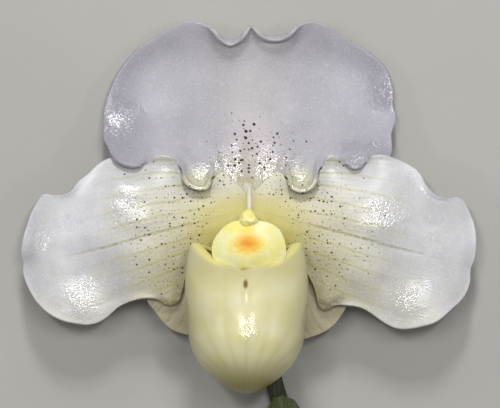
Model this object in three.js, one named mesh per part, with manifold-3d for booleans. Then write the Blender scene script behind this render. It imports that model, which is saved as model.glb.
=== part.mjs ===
// Paphiopedilum orchid: one bloom as picked, lying on its back with its face up.
// Millimetres. X runs across the flower, Y from the cut stem towards the dorsal sepal, and Z up,
// out of the flower's face. The flower rests on Z = 0, on the backs of the dorsal sepal's two
// lobes and on the end of its stem.
import * as THREE from "three";
import { mergeVertices } from "three/addons/utils/BufferGeometryUtils.js";
import Module from "manifold-3d";

// Driving dimensions. Places below are measured from the flower's heart, where every piece meets.
const HEART = [0.1, 33.3]; // the heart in the part's frame, whose origin is under the part's middle
const BLADE_THICKNESS = 1.0; // sepals and petals
const POUCH_WALL = 1.2;
const SHIELD_THICKNESS = 1.5;
const BRACT_THICKNESS = 0.8;
const LYING_HEIGHT = 0.3; // of a blade's middle surface, where its back lies flat on the ground
const ROLL_LENGTH = 3.2; // the strip of a sepal's margin that rolls towards the face

const POUCH_MIDDLE_X = -0.6;
const POUCH_TOE_Y = -37.6;
const POUCH_EAR_Y = -2.9; // top of the two ears, at the sides of the mouth
const POUCH_LIP_Y = -9.2; // lowest point of the mouth's front rim
const POUCH_BACK_Y = -3.4; // top of the back wall, against the column

const COLUMN_FOOT_Z = 12.9;
const COLUMN_TOP_Z = 33.7;
const COLUMN_LEAN = -0.06; // the column leans this much towards the pouch for each mm up

const material = (color, roughness) =>
  new THREE.MeshStandardMaterial({ color, roughness, metalness: 0 });
const FINISH = {
  sepal: material(0xe3dfe6, 0.4),
  petal: material(0xe2ddd3, 0.4),
  pouch: material(0xdcd69f, 0.35),
  shield: material(0xf0e68c, 0.45),
  column: material(0xe4dfae, 0.5),
  anther: material(0xd9b64c, 0.6),
  ovary: material(0x3c451d, 0.6),
  bract: material(0x55682b, 0.55),
  scape: material(0x4a3a2c, 0.65),
};

// Margins, anticlockwise as seen from the front. Each point is x, y, z and, where the rim rolls
// towards the face, the roll's turn in degrees. The sepal's and the petals' margins weave: where
// one stands forward at a place, the other keeps back.
const DORSAL_MARGIN = [
  [34.4, 18.2, 8.8], [34.9, 20.6, 8.0], [34.7, 23.7, 6.6], [35.6, 26.4, 5.2],
  [35.8, 28.3, 4.6], [35.2, 30.8, 4.4], [35.3, 34.2, 3.9], [34.2, 38.4, 3.2],
  [32.7, 41.2, 3.0], [28.8, 44.4, 2.6],
  [24.6, 47.0, 2.6], [21.8, 49.3, 3.0], [18.4, 50.8, 3.4], [15.7, 51.4, 3.8],
  [12.6, 50.9, 4.0, 20], [11.0, 49.2, 3.6, 70], [9.6, 48.1, 3.2, 110], [7.6, 47.6, 3.0, 125],
  [4.6, 47.6, 3.0, 125], [2.6, 48.2, 3.4, 90], [1.4, 49.7, 4.2, 45], [0.5, 50.3, 4.6, 30],
  [-0.2, 49.7, 4.2, 45], [-1.0, 48.2, 3.6, 90], [-2.7, 47.0, 3.2, 125], [-4.7, 46.5, 3.0, 130],
  [-6.9, 47.2, 3.2, 115], [-8.5, 48.9, 3.6, 70], [-10.0, 50.4, 4.0, 20], [-11.9, 51.1, 4.0],
  [-14.5, 51.7, 3.8], [-19.4, 50.0, 3.0], [-24.0, 47.1, 2.4], [-27.1, 45.1, 2.4],
  [-30.5, 41.2, 2.8], [-33.0, 37.3, 3.4], [-34.4, 33.4, 4.2], [-35.4, 30.0, 4.6],
  [-35.5, 25.7, 5.6], [-35.4, 22.5, 7.6], [-34.3, 20.4, 9.6], [-33.4, 18.6, 11.8],
  [-32.0, 17.1, 13.4], [-30.3, 16.2, 14.3], [-28.1, 15.8, 14.6], [-26.3, 16.1, 14.2],
  [-25.3, 17.0, 13.4], [-24.3, 17.8, 11.9], [-23.3, 17.7, 10.6], [-22.0, 17.5, 10.0],
  [-20.2, 17.5, 10.2], [-18.6, 17.5, 10.8], [-17.6, 17.9, 12.0], [-16.9, 17.1, 13.4],
  [-16.5, 15.5, 14.8], [-16.0, 14.2, 15.4, 30], [-15.6, 12.6, 16.0, 70], [-14.1, 11.2, 16.2, 100],
  [-11.9, 10.4, 16.2, 110], [-10.2, 10.8, 16.2, 100], [-9.1, 12.0, 16.0, 70],
  [-8.8, 14.1, 15.2, 20], [-7.7, 15.4, 13.2], [-6.3, 13.4, 12.6], [-4.7, 10.6, 12.7],
  [-3.2, 7.8, 13.0], [-2.0, 4.1, 13.2], [0.0, 3.0, 13.2], [2.0, 4.1, 13.2],
  [3.4, 8.0, 13.0], [4.9, 10.8, 12.7], [6.5, 13.6, 12.6], [8.0, 15.7, 13.2],
  [9.3, 14.5, 15.2, 20], [9.4, 12.1, 16.0, 70], [10.3, 10.9, 16.2, 100], [11.6, 10.1, 16.2, 110],
  [13.2, 9.9, 16.2, 110], [15.1, 10.8, 16.2, 100], [16.3, 12.4, 16.0, 70],
  [16.4, 14.0, 15.4, 30], [16.5, 15.4, 14.8], [16.7, 17.1, 13.3], [17.9, 18.1, 12.0],
  [19.0, 17.5, 10.6], [20.2, 17.4, 10.0], [21.3, 17.4, 10.4], [22.5, 18.1, 11.8],
  [23.7, 17.3, 13.3], [24.5, 15.8, 14.2], [26.0, 15.4, 14.6], [27.1, 15.9, 14.2],
  [27.9, 17.1, 13.1], [28.5, 18.6, 11.3], [29.8, 17.8, 10.0], [32.2, 17.4, 9.2],
];

const PETAL_RIGHT_MARGIN = [
  [55.1, -2.2, 10.2], [54.7, 1.5, 9.6], [53.6, 4.4, 9.0], [52.5, 6.7, 8.7],
  [51.0, 8.2, 9.0], [48.8, 8.1, 10.4], [46.9, 8.3, 11.8], [44.6, 9.4, 12.9],
  [42.8, 11.4, 13.2], [41.7, 13.7, 12.8], [40.4, 15.2, 12.3], [38.0, 16.6, 11.8],
  [36.3, 17.4, 12.0], [34.4, 18.2, 12.7], [32.6, 18.7, 13.1], [31.0, 18.7, 13.1],
  [29.8, 18.4, 12.8], [29.2, 17.4, 12.0], [28.4, 16.6, 10.6], [27.0, 16.5, 9.8],
  [25.6, 16.4, 9.6], [24.3, 16.3, 10.2], [23.3, 16.1, 11.2], [22.4, 16.5, 12.4],
  [21.6, 18.0, 13.8], [20.2, 18.6, 14.4], [18.9, 18.2, 14.3], [18.4, 17.3, 13.8],
  [18.0, 16.0, 13.0], [16.9, 14.4, 12.2], [15.8, 12.8, 11.8], [14.3, 11.5, 11.6],
  [12.8, 11.0, 11.6], [11.2, 11.5, 11.8], [10.2, 12.6, 12.4], [9.1, 12.8, 13.4],
  [8.1, 13.9, 14.6], [7.0, 14.5, 15.6], [5.5, 13.9, 16.2], [3.8, 12.4, 16.6],
  [2.3, 10.9, 16.8], [1.3, 9.7, 16.9], [0.9, 7.9, 16.9], [0.8, 6.1, 16.8],
  [1.4, 4.4, 16.5], [2.9, 3.0, 16.1], [3.2, 0.8, 15.8], [3.3, -1.8, 15.3],
  [4.5, -4.2, 14.8], [6.8, -5.6, 14.4], [10.0, -7.2, 14.2], [13.8, -9.7, 14.0],
  [15.3, -12.4, 13.8], [16.2, -14.9, 13.4], [16.7, -17.0, 12.9], [17.2, -18.3, 12.5],
  [18.2, -19.0, 12.3], [19.3, -18.7, 12.7], [21.1, -17.8, 13.6], [23.4, -17.8, 14.2],
  [26.9, -18.3, 14.2], [29.8, -19.9, 13.2], [32.2, -21.7, 11.7], [34.9, -23.1, 10.5],
  [37.5, -23.6, 10.1], [41.9, -22.9, 10.7], [45.4, -21.8, 11.6], [48.7, -19.1, 12.0],
  [52.2, -15.7, 11.0], [53.6, -12.1, 9.6], [53.7, -8.9, 9.1], [54.7, -6.5, 9.6],
];

const PETAL_LEFT_MARGIN = [
  [-54.9, -1.9, 10.0], [-55.3, -5.1, 9.2], [-54.6, -7.4, 8.4], [-54.8, -9.8, 8.6],
  [-53.8, -13.0, 9.6], [-51.4, -17.1, 10.8], [-48.5, -19.8, 11.2], [-44.9, -21.6, 10.6],
  [-41.4, -22.3, 9.6], [-39.1, -22.5, 9.2], [-36.7, -22.0, 9.3], [-34.4, -20.7, 10.2],
  [-31.7, -18.3, 12.0], [-29.7, -17.2, 13.4], [-27.6, -16.5, 14.2], [-24.8, -16.0, 14.6],
  [-22.4, -16.3, 13.9], [-20.7, -17.3, 12.9], [-19.4, -17.8, 12.3], [-17.3, -17.1, 12.4],
  [-16.5, -15.1, 12.9], [-15.9, -13.1, 13.4], [-15.4, -11.0, 13.8], [-13.0, -8.6, 14.0],
  [-9.6, -6.9, 14.2], [-6.6, -5.5, 14.4], [-4.5, -4.2, 14.8], [-3.3, -1.8, 15.3],
  [-3.2, 0.8, 15.8], [-2.9, 3.0, 16.1], [-1.4, 4.4, 16.5], [-0.7, 5.8, 16.8],
  [-0.8, 7.8, 16.9], [-1.0, 9.7, 16.9], [-2.6, 11.3, 16.7], [-4.7, 13.4, 16.2],
  [-6.4, 14.5, 15.6], [-7.5, 13.9, 14.6], [-8.6, 13.0, 13.4], [-9.5, 12.7, 12.4],
  [-10.6, 11.9, 11.8], [-12.0, 11.5, 11.6], [-13.6, 12.0, 11.6], [-15.0, 13.1, 11.8],
  [-16.2, 14.5, 12.2], [-17.4, 16.0, 12.9], [-18.1, 17.3, 13.8], [-18.9, 18.2, 14.3],
  [-21.1, 18.7, 14.4], [-22.8, 18.2, 13.8], [-23.7, 17.2, 12.8], [-24.6, 16.5, 11.6],
  [-25.6, 16.7, 10.4], [-27.0, 16.7, 9.8], [-28.6, 16.8, 9.6], [-30.4, 17.2, 9.6],
  [-32.2, 17.8, 9.6], [-33.6, 17.9, 9.6], [-34.9, 17.4, 9.8], [-36.6, 16.4, 10.6],
  [-38.5, 14.5, 11.8], [-40.1, 13.2, 12.6], [-41.4, 12.1, 13.3], [-42.2, 10.7, 13.6],
  [-43.9, 9.4, 12.8], [-45.6, 8.9, 11.4], [-47.8, 8.9, 9.9], [-49.8, 9.1, 9.0],
  [-51.4, 7.0, 8.6], [-52.9, 4.4, 9.0], [-53.8, 1.7, 9.6], [-54.5, -0.2, 10.0],
];

const SYNSEPALUM_MARGIN = [
  [0.0, -3.1, 11.8], [-3.5, -4.0, 11.4], [-8.0, -7.0, 10.8], [-14.0, -9.5, 10.5],
  [-19.5, -12.0, 10.6], [-23.5, -14.5, 11.0], [-24.8, -16.4, 11.3], [-23.2, -18.9, 11.1],
  [-20.8, -22.0, 10.6], [-18.7, -23.8, 10.2], [-16.4, -24.6, 9.9], [-14.1, -25.2, 9.7],
  [-9.0, -27.5, 9.2], [-4.0, -29.2, 9.0], [0.0, -29.8, 9.0], [4.5, -29.4, 9.0],
  [9.0, -28.0, 9.2], [12.8, -26.3, 9.5], [15.6, -25.4, 9.8], [18.5, -24.2, 10.1],
  [20.6, -22.6, 10.4], [22.4, -20.3, 10.8], [23.6, -17.9, 11.0], [22.4, -15.2, 10.9],
  [18.5, -12.0, 10.6], [13.0, -9.2, 10.5], [7.5, -6.7, 10.8], [3.5, -4.0, 11.4],
];

const SHIELD_MARGIN = [
  [7.8, -3.2, 33.4], [7.3, -1.0, 33.6], [6.3, 0.8, 33.8], [5.0, 2.0, 34.0],
  [3.3, 2.7, 34.2], [1.4, 3.0, 34.4], [-1.4, 3.0, 34.4], [-3.6, 2.7, 34.2],
  [-5.4, 1.8, 34.0], [-7.0, 0.2, 33.7], [-8.2, -1.6, 33.4], [-8.7, -3.6, 33.2],
  [-8.6, -5.2, 33.2], [-7.6, -6.8, 33.4], [-5.6, -7.6, 33.8], [-3.6, -8.1, 34.1],
  [-2.2, -8.8, 34.2], [-0.8, -9.0, 34.2], [0.6, -8.7, 34.2], [2.0, -8.0, 34.1],
  [4.4, -7.6, 33.8], [6.6, -7.0, 33.4], [7.7, -5.4, 33.2],
];

const smooth = (t) => t * t * (3 - 2 * t);
const bump = (d2, width) => Math.exp(-d2 / (width * width));

// The backs of the two lobes come down to the surface at this place, on each side.
const LOBE_REST = { x: 21.5, y: 36.5, width: 13, drop: 3.0 };

// Height of each blade's own curved surface, away from the waves of its margin.
function dorsalHeight(x, y) {
  const lean = 12 * bump((y - 6) ** 2, 17);
  const lobe = bump((Math.abs(x) - LOBE_REST.x) ** 2 + (y - LOBE_REST.y) ** 2, LOBE_REST.width);
  return 1.7 + lean - LOBE_REST.drop * lobe;
}

function petalHeight(x) {
  const reach = Math.abs(x);
  return 15.8 + 0.12 * reach - 0.0033 * reach * reach;
}

const synsepalumHeight = (x, y) => 10.6 + 0.05 * (y + 14) + 0.002 * x * x;

function shieldHeight(x, y) {
  return 36.6 - 0.6 * bump(x * x + (y + 3) ** 2, 2.4);
}

// One smooth closed curve through a margin's points, with the roll of its rim.
function marginCurve(rows) {
  const curve = new THREE.CatmullRomCurve3(
    rows.map(([x, y, z]) => new THREE.Vector3(x, y, z)),
    true,
    "centripetal",
  );
  const rollAt = (turn) => {
    const place = turn * rows.length;
    const here = Math.floor(place) % rows.length;
    const next = (here + 1) % rows.length;
    const roll = THREE.MathUtils.lerp(
      rows[here][3] ?? 0,
      rows[next][3] ?? 0,
      smooth(place - Math.floor(place)),
    );
    return THREE.MathUtils.degToRad(roll);
  };
  return { curve, rollAt };
}

// How far round its square ring a grid point lies, from 0 to 1, anticlockwise.
function turnOnRing(i, j, ring) {
  if (i === ring && j > -ring) return (j / (8 * ring) + 1) % 1;
  if (j === ring) return (2 * ring - i) / (8 * ring);
  if (i === -ring) return (4 * ring - j) / (8 * ring);
  return (6 * ring + i) / (8 * ring);
}

// A flat square grid whose cells are all split along the diagonal that points outwards.
function starGrid(cells) {
  const grid = new THREE.PlaneGeometry(cells, cells, cells, cells);
  const index = grid.getIndex();
  for (let row = 0; row < cells; row++) {
    for (let column = 0; column < cells; column++) {
      if (row < cells / 2 !== column < cells / 2) continue;
      const a = column + (cells + 1) * row;
      const [b, c, d] = [a + cells + 1, a + cells + 2, a + 1];
      index.array.set([a, b, c, a, c, d], 6 * (row * cells + column));
    }
  }
  return grid;
}

// A blade's middle surface: a square grid whose rings run from the blade's spine out to the
// margin and crowd towards it. The spine is a level line { from, to, y }, and each ray starts at
// the spine's nearest point. The margin's waves die away over `fade` mm inwards.
function bladeSurface({ margin, spine, height, rings, fade }) {
  const { curve, rollAt } = marginCurve(margin);
  const grid = starGrid(2 * rings);
  const place = grid.getAttribute("position");
  const middle = (spine.from + spine.to) / 2;
  for (let v = 0; v < place.count; v++) {
    const i = Math.round(place.getX(v));
    const j = Math.round(place.getY(v));
    const ring = Math.max(Math.abs(i), Math.abs(j));
    if (ring === 0) {
      place.setXYZ(v, middle, spine.y, height(middle, spine.y));
      continue;
    }
    const turn = turnOnRing(i, j, ring);
    const rim = curve.getPoint(turn);
    const foot = THREE.MathUtils.clamp(rim.x, spine.from, spine.to);
    const reach = Math.hypot(rim.x - foot, rim.y - spine.y);
    const inset = (1 - ring / rings) ** 1.2 * reach;
    const rolled = rolledStrip(inset, reach, rollAt(turn));
    const x = rim.x + ((foot - rim.x) / reach) * rolled.inset;
    const y = rim.y + ((spine.y - rim.y) / reach) * rolled.inset;
    const lift = (rim.z - height(rim.x, rim.y)) * bump(inset * inset, fade);
    const z = height(x, y) + lift + rolled.up;
    place.setXYZ(v, x, y, Math.max(LYING_HEIGHT, z));
  }
  return grid;
}

// Where a point `inset` mm inside the margin goes when the last strip rolls up by `roll`: the
// outermost place of the roll stays on the margin's line.
function rolledStrip(inset, reach, roll) {
  if (roll < 0.02) return { inset, up: 0 };
  const radius = ROLL_LENGTH / roll;
  const spare = ROLL_LENGTH - radius * Math.sin(Math.min(roll, Math.PI / 2));
  if (inset >= ROLL_LENGTH) {
    const share = (reach - inset) / (reach - ROLL_LENGTH);
    return { inset: inset - spare * share, up: 0 };
  }
  const angle = roll * (1 - inset / ROLL_LENGTH);
  return {
    inset: ROLL_LENGTH - spare - radius * Math.sin(angle),
    up: radius * (1 - Math.cos(angle)),
  };
}

// The geometry with shared vertices and without the triangles that closed up.
function welded(geometry, tolerance = 1e-3) {
  const bare = new THREE.BufferGeometry();
  bare.setAttribute("position", geometry.getAttribute("position"));
  bare.setIndex(geometry.getIndex());
  const merged = mergeVertices(bare, tolerance);
  const old = merged.getIndex().array;
  const kept = [];
  for (let t = 0; t < old.length; t += 3) {
    const [a, b, c] = [old[t], old[t + 1], old[t + 2]];
    if (a !== b && b !== c && c !== a) kept.push(a, b, c);
  }
  merged.setIndex(kept);
  return merged;
}

// A closed solid from a surface: the same triangles on both faces, half the thickness to each
// side, and a strip round the open edge. The back is flat where it meets the ground.
function thickened(surface, thickness) {
  const middle = welded(surface);
  middle.computeVertexNormals();
  const place = middle.getAttribute("position");
  const normal = middle.getAttribute("normal");
  const count = place.count;
  const points = [];
  for (const side of [0.5, -0.5]) {
    for (let v = 0; v < count; v++) {
      const at = new THREE.Vector3().fromBufferAttribute(place, v);
      const off = new THREE.Vector3().fromBufferAttribute(normal, v);
      at.addScaledVector(off, side * thickness);
      points.push(at.x, at.y, Math.max(0, at.z));
    }
  }
  const front = Array.from(middle.getIndex().array);
  const faces = [...front];
  const edges = new Set();
  for (let t = 0; t < front.length; t += 3) {
    const [a, b, c] = [front[t], front[t + 1], front[t + 2]];
    faces.push(a + count, c + count, b + count);
    edges.add(`${a} ${b}`);
    edges.add(`${b} ${c}`);
    edges.add(`${c} ${a}`);
  }
  for (const edge of edges) {
    const [a, b] = edge.split(" ").map(Number);
    if (edges.has(`${b} ${a}`)) continue;
    faces.push(b, a, a + count, b, a + count, b + count);
  }
  const solid = new THREE.BufferGeometry();
  solid.setAttribute("position", new THREE.Float32BufferAttribute(points, 3));
  solid.setIndex(faces);
  return solid;
}

// Joins closed geometries into one solid.
const wasm = await Module();
wasm.setup();
function joined(...geometries) {
  const solids = geometries.map((geometry) => {
    const closed = welded(geometry);
    return new wasm.Manifold(
      new wasm.Mesh({
        numProp: 3,
        vertProperties: new Float32Array(closed.getAttribute("position").array),
        triVerts: new Uint32Array(closed.getIndex().array),
      }),
    );
  });
  const made = solids.reduce((whole, solid) => whole.add(solid)).getMesh();
  const geometry = new THREE.BufferGeometry();
  geometry.setAttribute("position", new THREE.BufferAttribute(made.vertProperties, 3));
  geometry.setIndex(new THREE.BufferAttribute(made.triVerts, 1));
  return geometry;
}

function ellipsoid(centre, radii, across = 12, along = 8) {
  const ball = new THREE.SphereGeometry(1, across, along);
  ball.scale(...radii);
  ball.translate(...centre);
  return ball;
}

// A smooth value between chosen pairs of place and value.
function profile(...pairs) {
  const curve = new THREE.CatmullRomCurve3(
    pairs.map(([at, value]) => new THREE.Vector3(at, value, 0)),
    false,
    "centripetal",
  );
  const steps = 200;
  const points = curve.getPoints(steps);
  return (at) => {
    const after = points.findIndex((p) => p.x >= at);
    if (after === 0) return points[0].y;
    if (after < 0) return points[steps].y;
    const [a, b] = [points[after - 1], points[after]];
    return THREE.MathUtils.lerp(a.y, b.y, (at - a.x) / (b.x - a.x));
  };
}

// The pouch: level rings round a line from the toe up to the mouth, closing in on the toe.
const POUCH_ROUND_Y = -23; // below this the pouch closes towards its toe
const pouchHalfWidth = profile([-23, 13.3], [-18, 13.9], [-12, 14.1], [-7, 13.7], [-2.5, 12.9]);
const pouchHalfDepth = profile([-23, 14.0], [-17, 13.3], [-12, 11.6], [-9, 10.2], [-2.5, 7.2]);
const pouchMiddleZ = profile([-37.6, 33], [-30, 31.6], [-23, 30], [-14, 28.4], [-2.5, 25.4]);

function pouchRimY(round) {
  const [across, front] = [Math.abs(Math.cos(round)), Math.sin(round)];
  const low = front > 0 ? POUCH_LIP_Y : POUCH_BACK_Y;
  return low + (POUCH_EAR_Y - low) * across ** 2.5;
}

function pouchPoint(round, up) {
  const y = THREE.MathUtils.lerp(POUCH_TOE_Y, pouchRimY(round), up ** 1.45);
  const below = Math.max(0, (y - POUCH_ROUND_Y) / (POUCH_TOE_Y - POUCH_ROUND_Y));
  const close = (1 - below ** 2) ** 0.68;
  const x = POUCH_MIDDLE_X + pouchHalfWidth(y) * close * Math.cos(round);
  const z = pouchMiddleZ(y) + pouchHalfDepth(y) * close * Math.sin(round);
  return [x, y, z];
}

function pouchGeometry() {
  const [around, along] = [32, 13];
  const sheet = new THREE.PlaneGeometry(1, 1, around, along);
  const place = sheet.getAttribute("position");
  for (let v = 0; v < place.count; v++) {
    const round = 2 * Math.PI * (Math.round((0.5 - place.getX(v)) * around) % around) / around;
    place.setXYZ(v, ...pouchPoint(round, 0.5 + place.getY(v)));
  }
  return thickened(sheet, POUCH_WALL);
}

// Stalks: a capped cylinder bent along a curve, with its radius given along the way and ribs.
function alongStalk(curve, share) {
  const at = curve.getPoint(share);
  const ahead = curve.getTangent(share);
  const side = new THREE.Vector3(1, 0, 0);
  side.addScaledVector(ahead, -side.dot(ahead)).normalize();
  const top = new THREE.Vector3().crossVectors(ahead, side).normalize();
  return { at, side, top };
}

function stalkGeometry({ curve, radius, sides, steps, ribs = 0, ribHeight = 0 }) {
  const rod = welded(new THREE.CylinderGeometry(1, 1, 1, sides, steps));
  const place = rod.getAttribute("position");
  for (let v = 0; v < place.count; v++) {
    const [x, y, z] = [place.getX(v), place.getY(v), place.getZ(v)];
    const share = THREE.MathUtils.clamp(0.5 - y, 0, 1);
    const { at, side, top } = alongStalk(curve, share);
    const round = Math.atan2(z, x);
    const out = Math.hypot(x, z) * (radius(share) + ribHeight * Math.cos(ribs * round));
    at.addScaledVector(side, out * Math.cos(round));
    at.addScaledVector(top, out * Math.sin(round));
    place.setXYZ(v, at.x, at.y, Math.max(0, at.z));
  }
  return rod;
}

const NODE_AT = [17.4, -64, 3.0]; // where the ovary stands on the scape
const ovaryCurve = new THREE.CatmullRomCurve3(
  [
    [0, 0, 12.4], [0, -0.1, 10.2], [0.3, -3.4, 6.0], [1.0, -10, 4.1],
    [2.9, -22, 3.1], [6.9, -39.5, 2.9], [11.6, -51, 2.9], [17.2, -63.6, 3.0],
  ].map((p) => new THREE.Vector3(...p)),
);
const ovaryRadius = profile([0, 2.9], [0.05, 2.5], [0.2, 2.3], [0.5, 2.2], [0.8, 1.9], [1, 1.8]);

const scapeCurve = new THREE.CatmullRomCurve3(
  [NODE_AT, [22.6, -77, 3.4], [27.2, -92, 3.4], [31.0, -108, 2.2], [32.8, -118, 2.2]].map(
    (p) => new THREE.Vector3(...p),
  ),
);
const scapeRadius = profile([0, 2.3], [0.03, 2.7], [0.08, 2.7], [0.25, 2.35], [1, 2.45]);

// The bract: a sheath open underneath, wrapped over the foot of the ovary and free at its tip.
function bractGeometry() {
  const [across, along] = [10, 12];
  const [root, tip] = [1, 0.72]; // shares of the ovary's length
  const sheet = new THREE.PlaneGeometry(1, 1, across, along);
  const place = sheet.getAttribute("position");
  const open = profile([0, 112], [0.5, 104], [0.85, 62], [1, 12]);
  const loose = profile([0, 2.7], [0.3, 3.0], [0.7, 3.6], [1, 4.6]);
  for (let v = 0; v < place.count; v++) {
    const up = 0.5 + place.getY(v);
    const lean = 2 * place.getX(v) * THREE.MathUtils.degToRad(open(up));
    const { at, side, top } = alongStalk(ovaryCurve, THREE.MathUtils.lerp(root, tip, up));
    at.addScaledVector(side, loose(up) * Math.sin(lean));
    at.addScaledVector(top, loose(up) * Math.cos(lean));
    place.setXYZ(v, at.x, at.y, at.z);
  }
  return thickened(sheet, BRACT_THICKNESS);
}

// The column: a turned post that leans a little towards the pouch, with the stigma below its head.
function columnGeometry() {
  const outline = [
    [0, COLUMN_FOOT_Z], [2.6, COLUMN_FOOT_Z], [2.5, 16], [2.4, 20], [2.0, 24],
    [2.1, 28], [2.7, 32], [2.6, COLUMN_TOP_Z], [0, COLUMN_TOP_Z],
  ].map(([r, z]) => new THREE.Vector2(r, z));
  const post = new THREE.LatheGeometry(outline, 20);
  post.rotateX(Math.PI / 2);
  post.applyMatrix4(
    new THREE.Matrix4().makeShear(0, 0, 0, 0, 0, COLUMN_LEAN),
  );
  post.translate(0, -COLUMN_LEAN * COLUMN_FOOT_Z, 0);
  const stigma = ellipsoid([0, -3.9, 24.6], [2.7, 1.9, 2.5], 16, 10);
  return joined(post, stigma);
}

const antherGeometry = (sign) => ellipsoid([4.0 * sign, -0.6, 25.6], [1.5, 1.8, 2.0], 14, 10);

function shieldGeometry() {
  const plate = thickened(
    bladeSurface({
      margin: SHIELD_MARGIN,
      spine: { from: -4.4, to: 3.6, y: -3 },
      height: shieldHeight,
      rings: 6,
      fade: 3,
    }),
    SHIELD_THICKNESS,
  );
  const knob = ellipsoid([0, 3.3, 34.9], [1.9, 2.1, 1.7], 14, 10);
  return joined(plate, knob);
}

const blade = (options) => thickened(bladeSurface(options), BLADE_THICKNESS);
const petal = (margin, from, to) =>
  blade({ margin, spine: { from, to, y: -1 }, height: petalHeight, rings: 9, fade: 6.5 });

const bloom = new THREE.Group();
bloom.position.set(HEART[0], HEART[1], 0);
function piece(name, geometry, finish) {
  const mesh = new THREE.Mesh(geometry, finish);
  mesh.name = name;
  bloom.add(mesh);
}

piece(
  "dorsal_sepal",
  blade({
    margin: DORSAL_MARGIN,
    spine: { from: -20, to: 20, y: 32 },
    height: dorsalHeight,
    rings: 12,
    fade: 6.5,
  }),
  FINISH.sepal,
);
piece("petal_left", petal(PETAL_LEFT_MARGIN, -42, -10), FINISH.petal);
piece("petal_right", petal(PETAL_RIGHT_MARGIN, 10, 42), FINISH.petal);
piece(
  "synsepalum",
  blade({
    margin: SYNSEPALUM_MARGIN,
    spine: { from: -14, to: 14, y: -16.5 },
    height: synsepalumHeight,
    rings: 6,
    fade: 6,
  }),
  FINISH.sepal,
);
piece("pouch", pouchGeometry(), FINISH.pouch);
piece("staminode", shieldGeometry(), FINISH.shield);
piece("column", columnGeometry(), FINISH.column);
piece("anther_left", antherGeometry(-1), FINISH.anther);
piece("anther_right", antherGeometry(1), FINISH.anther);
piece(
  "ovary",
  stalkGeometry({
    curve: ovaryCurve, radius: ovaryRadius, sides: 18, steps: 22, ribs: 6, ribHeight: 0.12,
  }),
  FINISH.ovary,
);
piece("bract", bractGeometry(), FINISH.bract);
piece(
  "scape",
  stalkGeometry({ curve: scapeCurve, radius: scapeRadius, sides: 14, steps: 12 }),
  FINISH.scape,
);

const whole = new THREE.Group();
whole.add(bloom);
export default whole;
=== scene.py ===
"""A paphiopedilum orchid, one bloom as picked: the finish round its solid frame."""
import functools
import math
import random

import bmesh
import bpy
from mathutils import Matrix, Vector, noise


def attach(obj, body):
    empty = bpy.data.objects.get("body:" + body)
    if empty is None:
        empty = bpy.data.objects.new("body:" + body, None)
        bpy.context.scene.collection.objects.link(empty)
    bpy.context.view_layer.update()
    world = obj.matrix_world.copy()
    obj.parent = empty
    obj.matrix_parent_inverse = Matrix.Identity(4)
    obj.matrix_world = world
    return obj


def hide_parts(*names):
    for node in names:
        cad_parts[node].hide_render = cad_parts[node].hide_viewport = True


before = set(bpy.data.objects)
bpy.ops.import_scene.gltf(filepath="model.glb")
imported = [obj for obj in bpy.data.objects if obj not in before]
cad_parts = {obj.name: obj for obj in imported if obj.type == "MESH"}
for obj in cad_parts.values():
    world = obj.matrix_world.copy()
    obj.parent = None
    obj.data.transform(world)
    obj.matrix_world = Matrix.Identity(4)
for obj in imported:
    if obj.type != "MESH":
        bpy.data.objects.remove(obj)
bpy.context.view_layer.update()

bl_info = {
    "name": "Slipper orchid bloom",
    "version": (1, 0, 0),
    "blender": (4, 5, 0),
    "location": "3D view > Sidebar > Bloom",
    "description": "Makes the blades, pouch, column and stem of a picked slipper orchid",
    "category": "Add Mesh",
}

# Places are in millimetres from the flower's heart, where every piece meets. X runs across the
# flower, Y from the stem to the dorsal sepal, and Z up, out of the face.
MM = 0.001
HEART = Vector((0.1, 33.3, 0.0))

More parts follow.
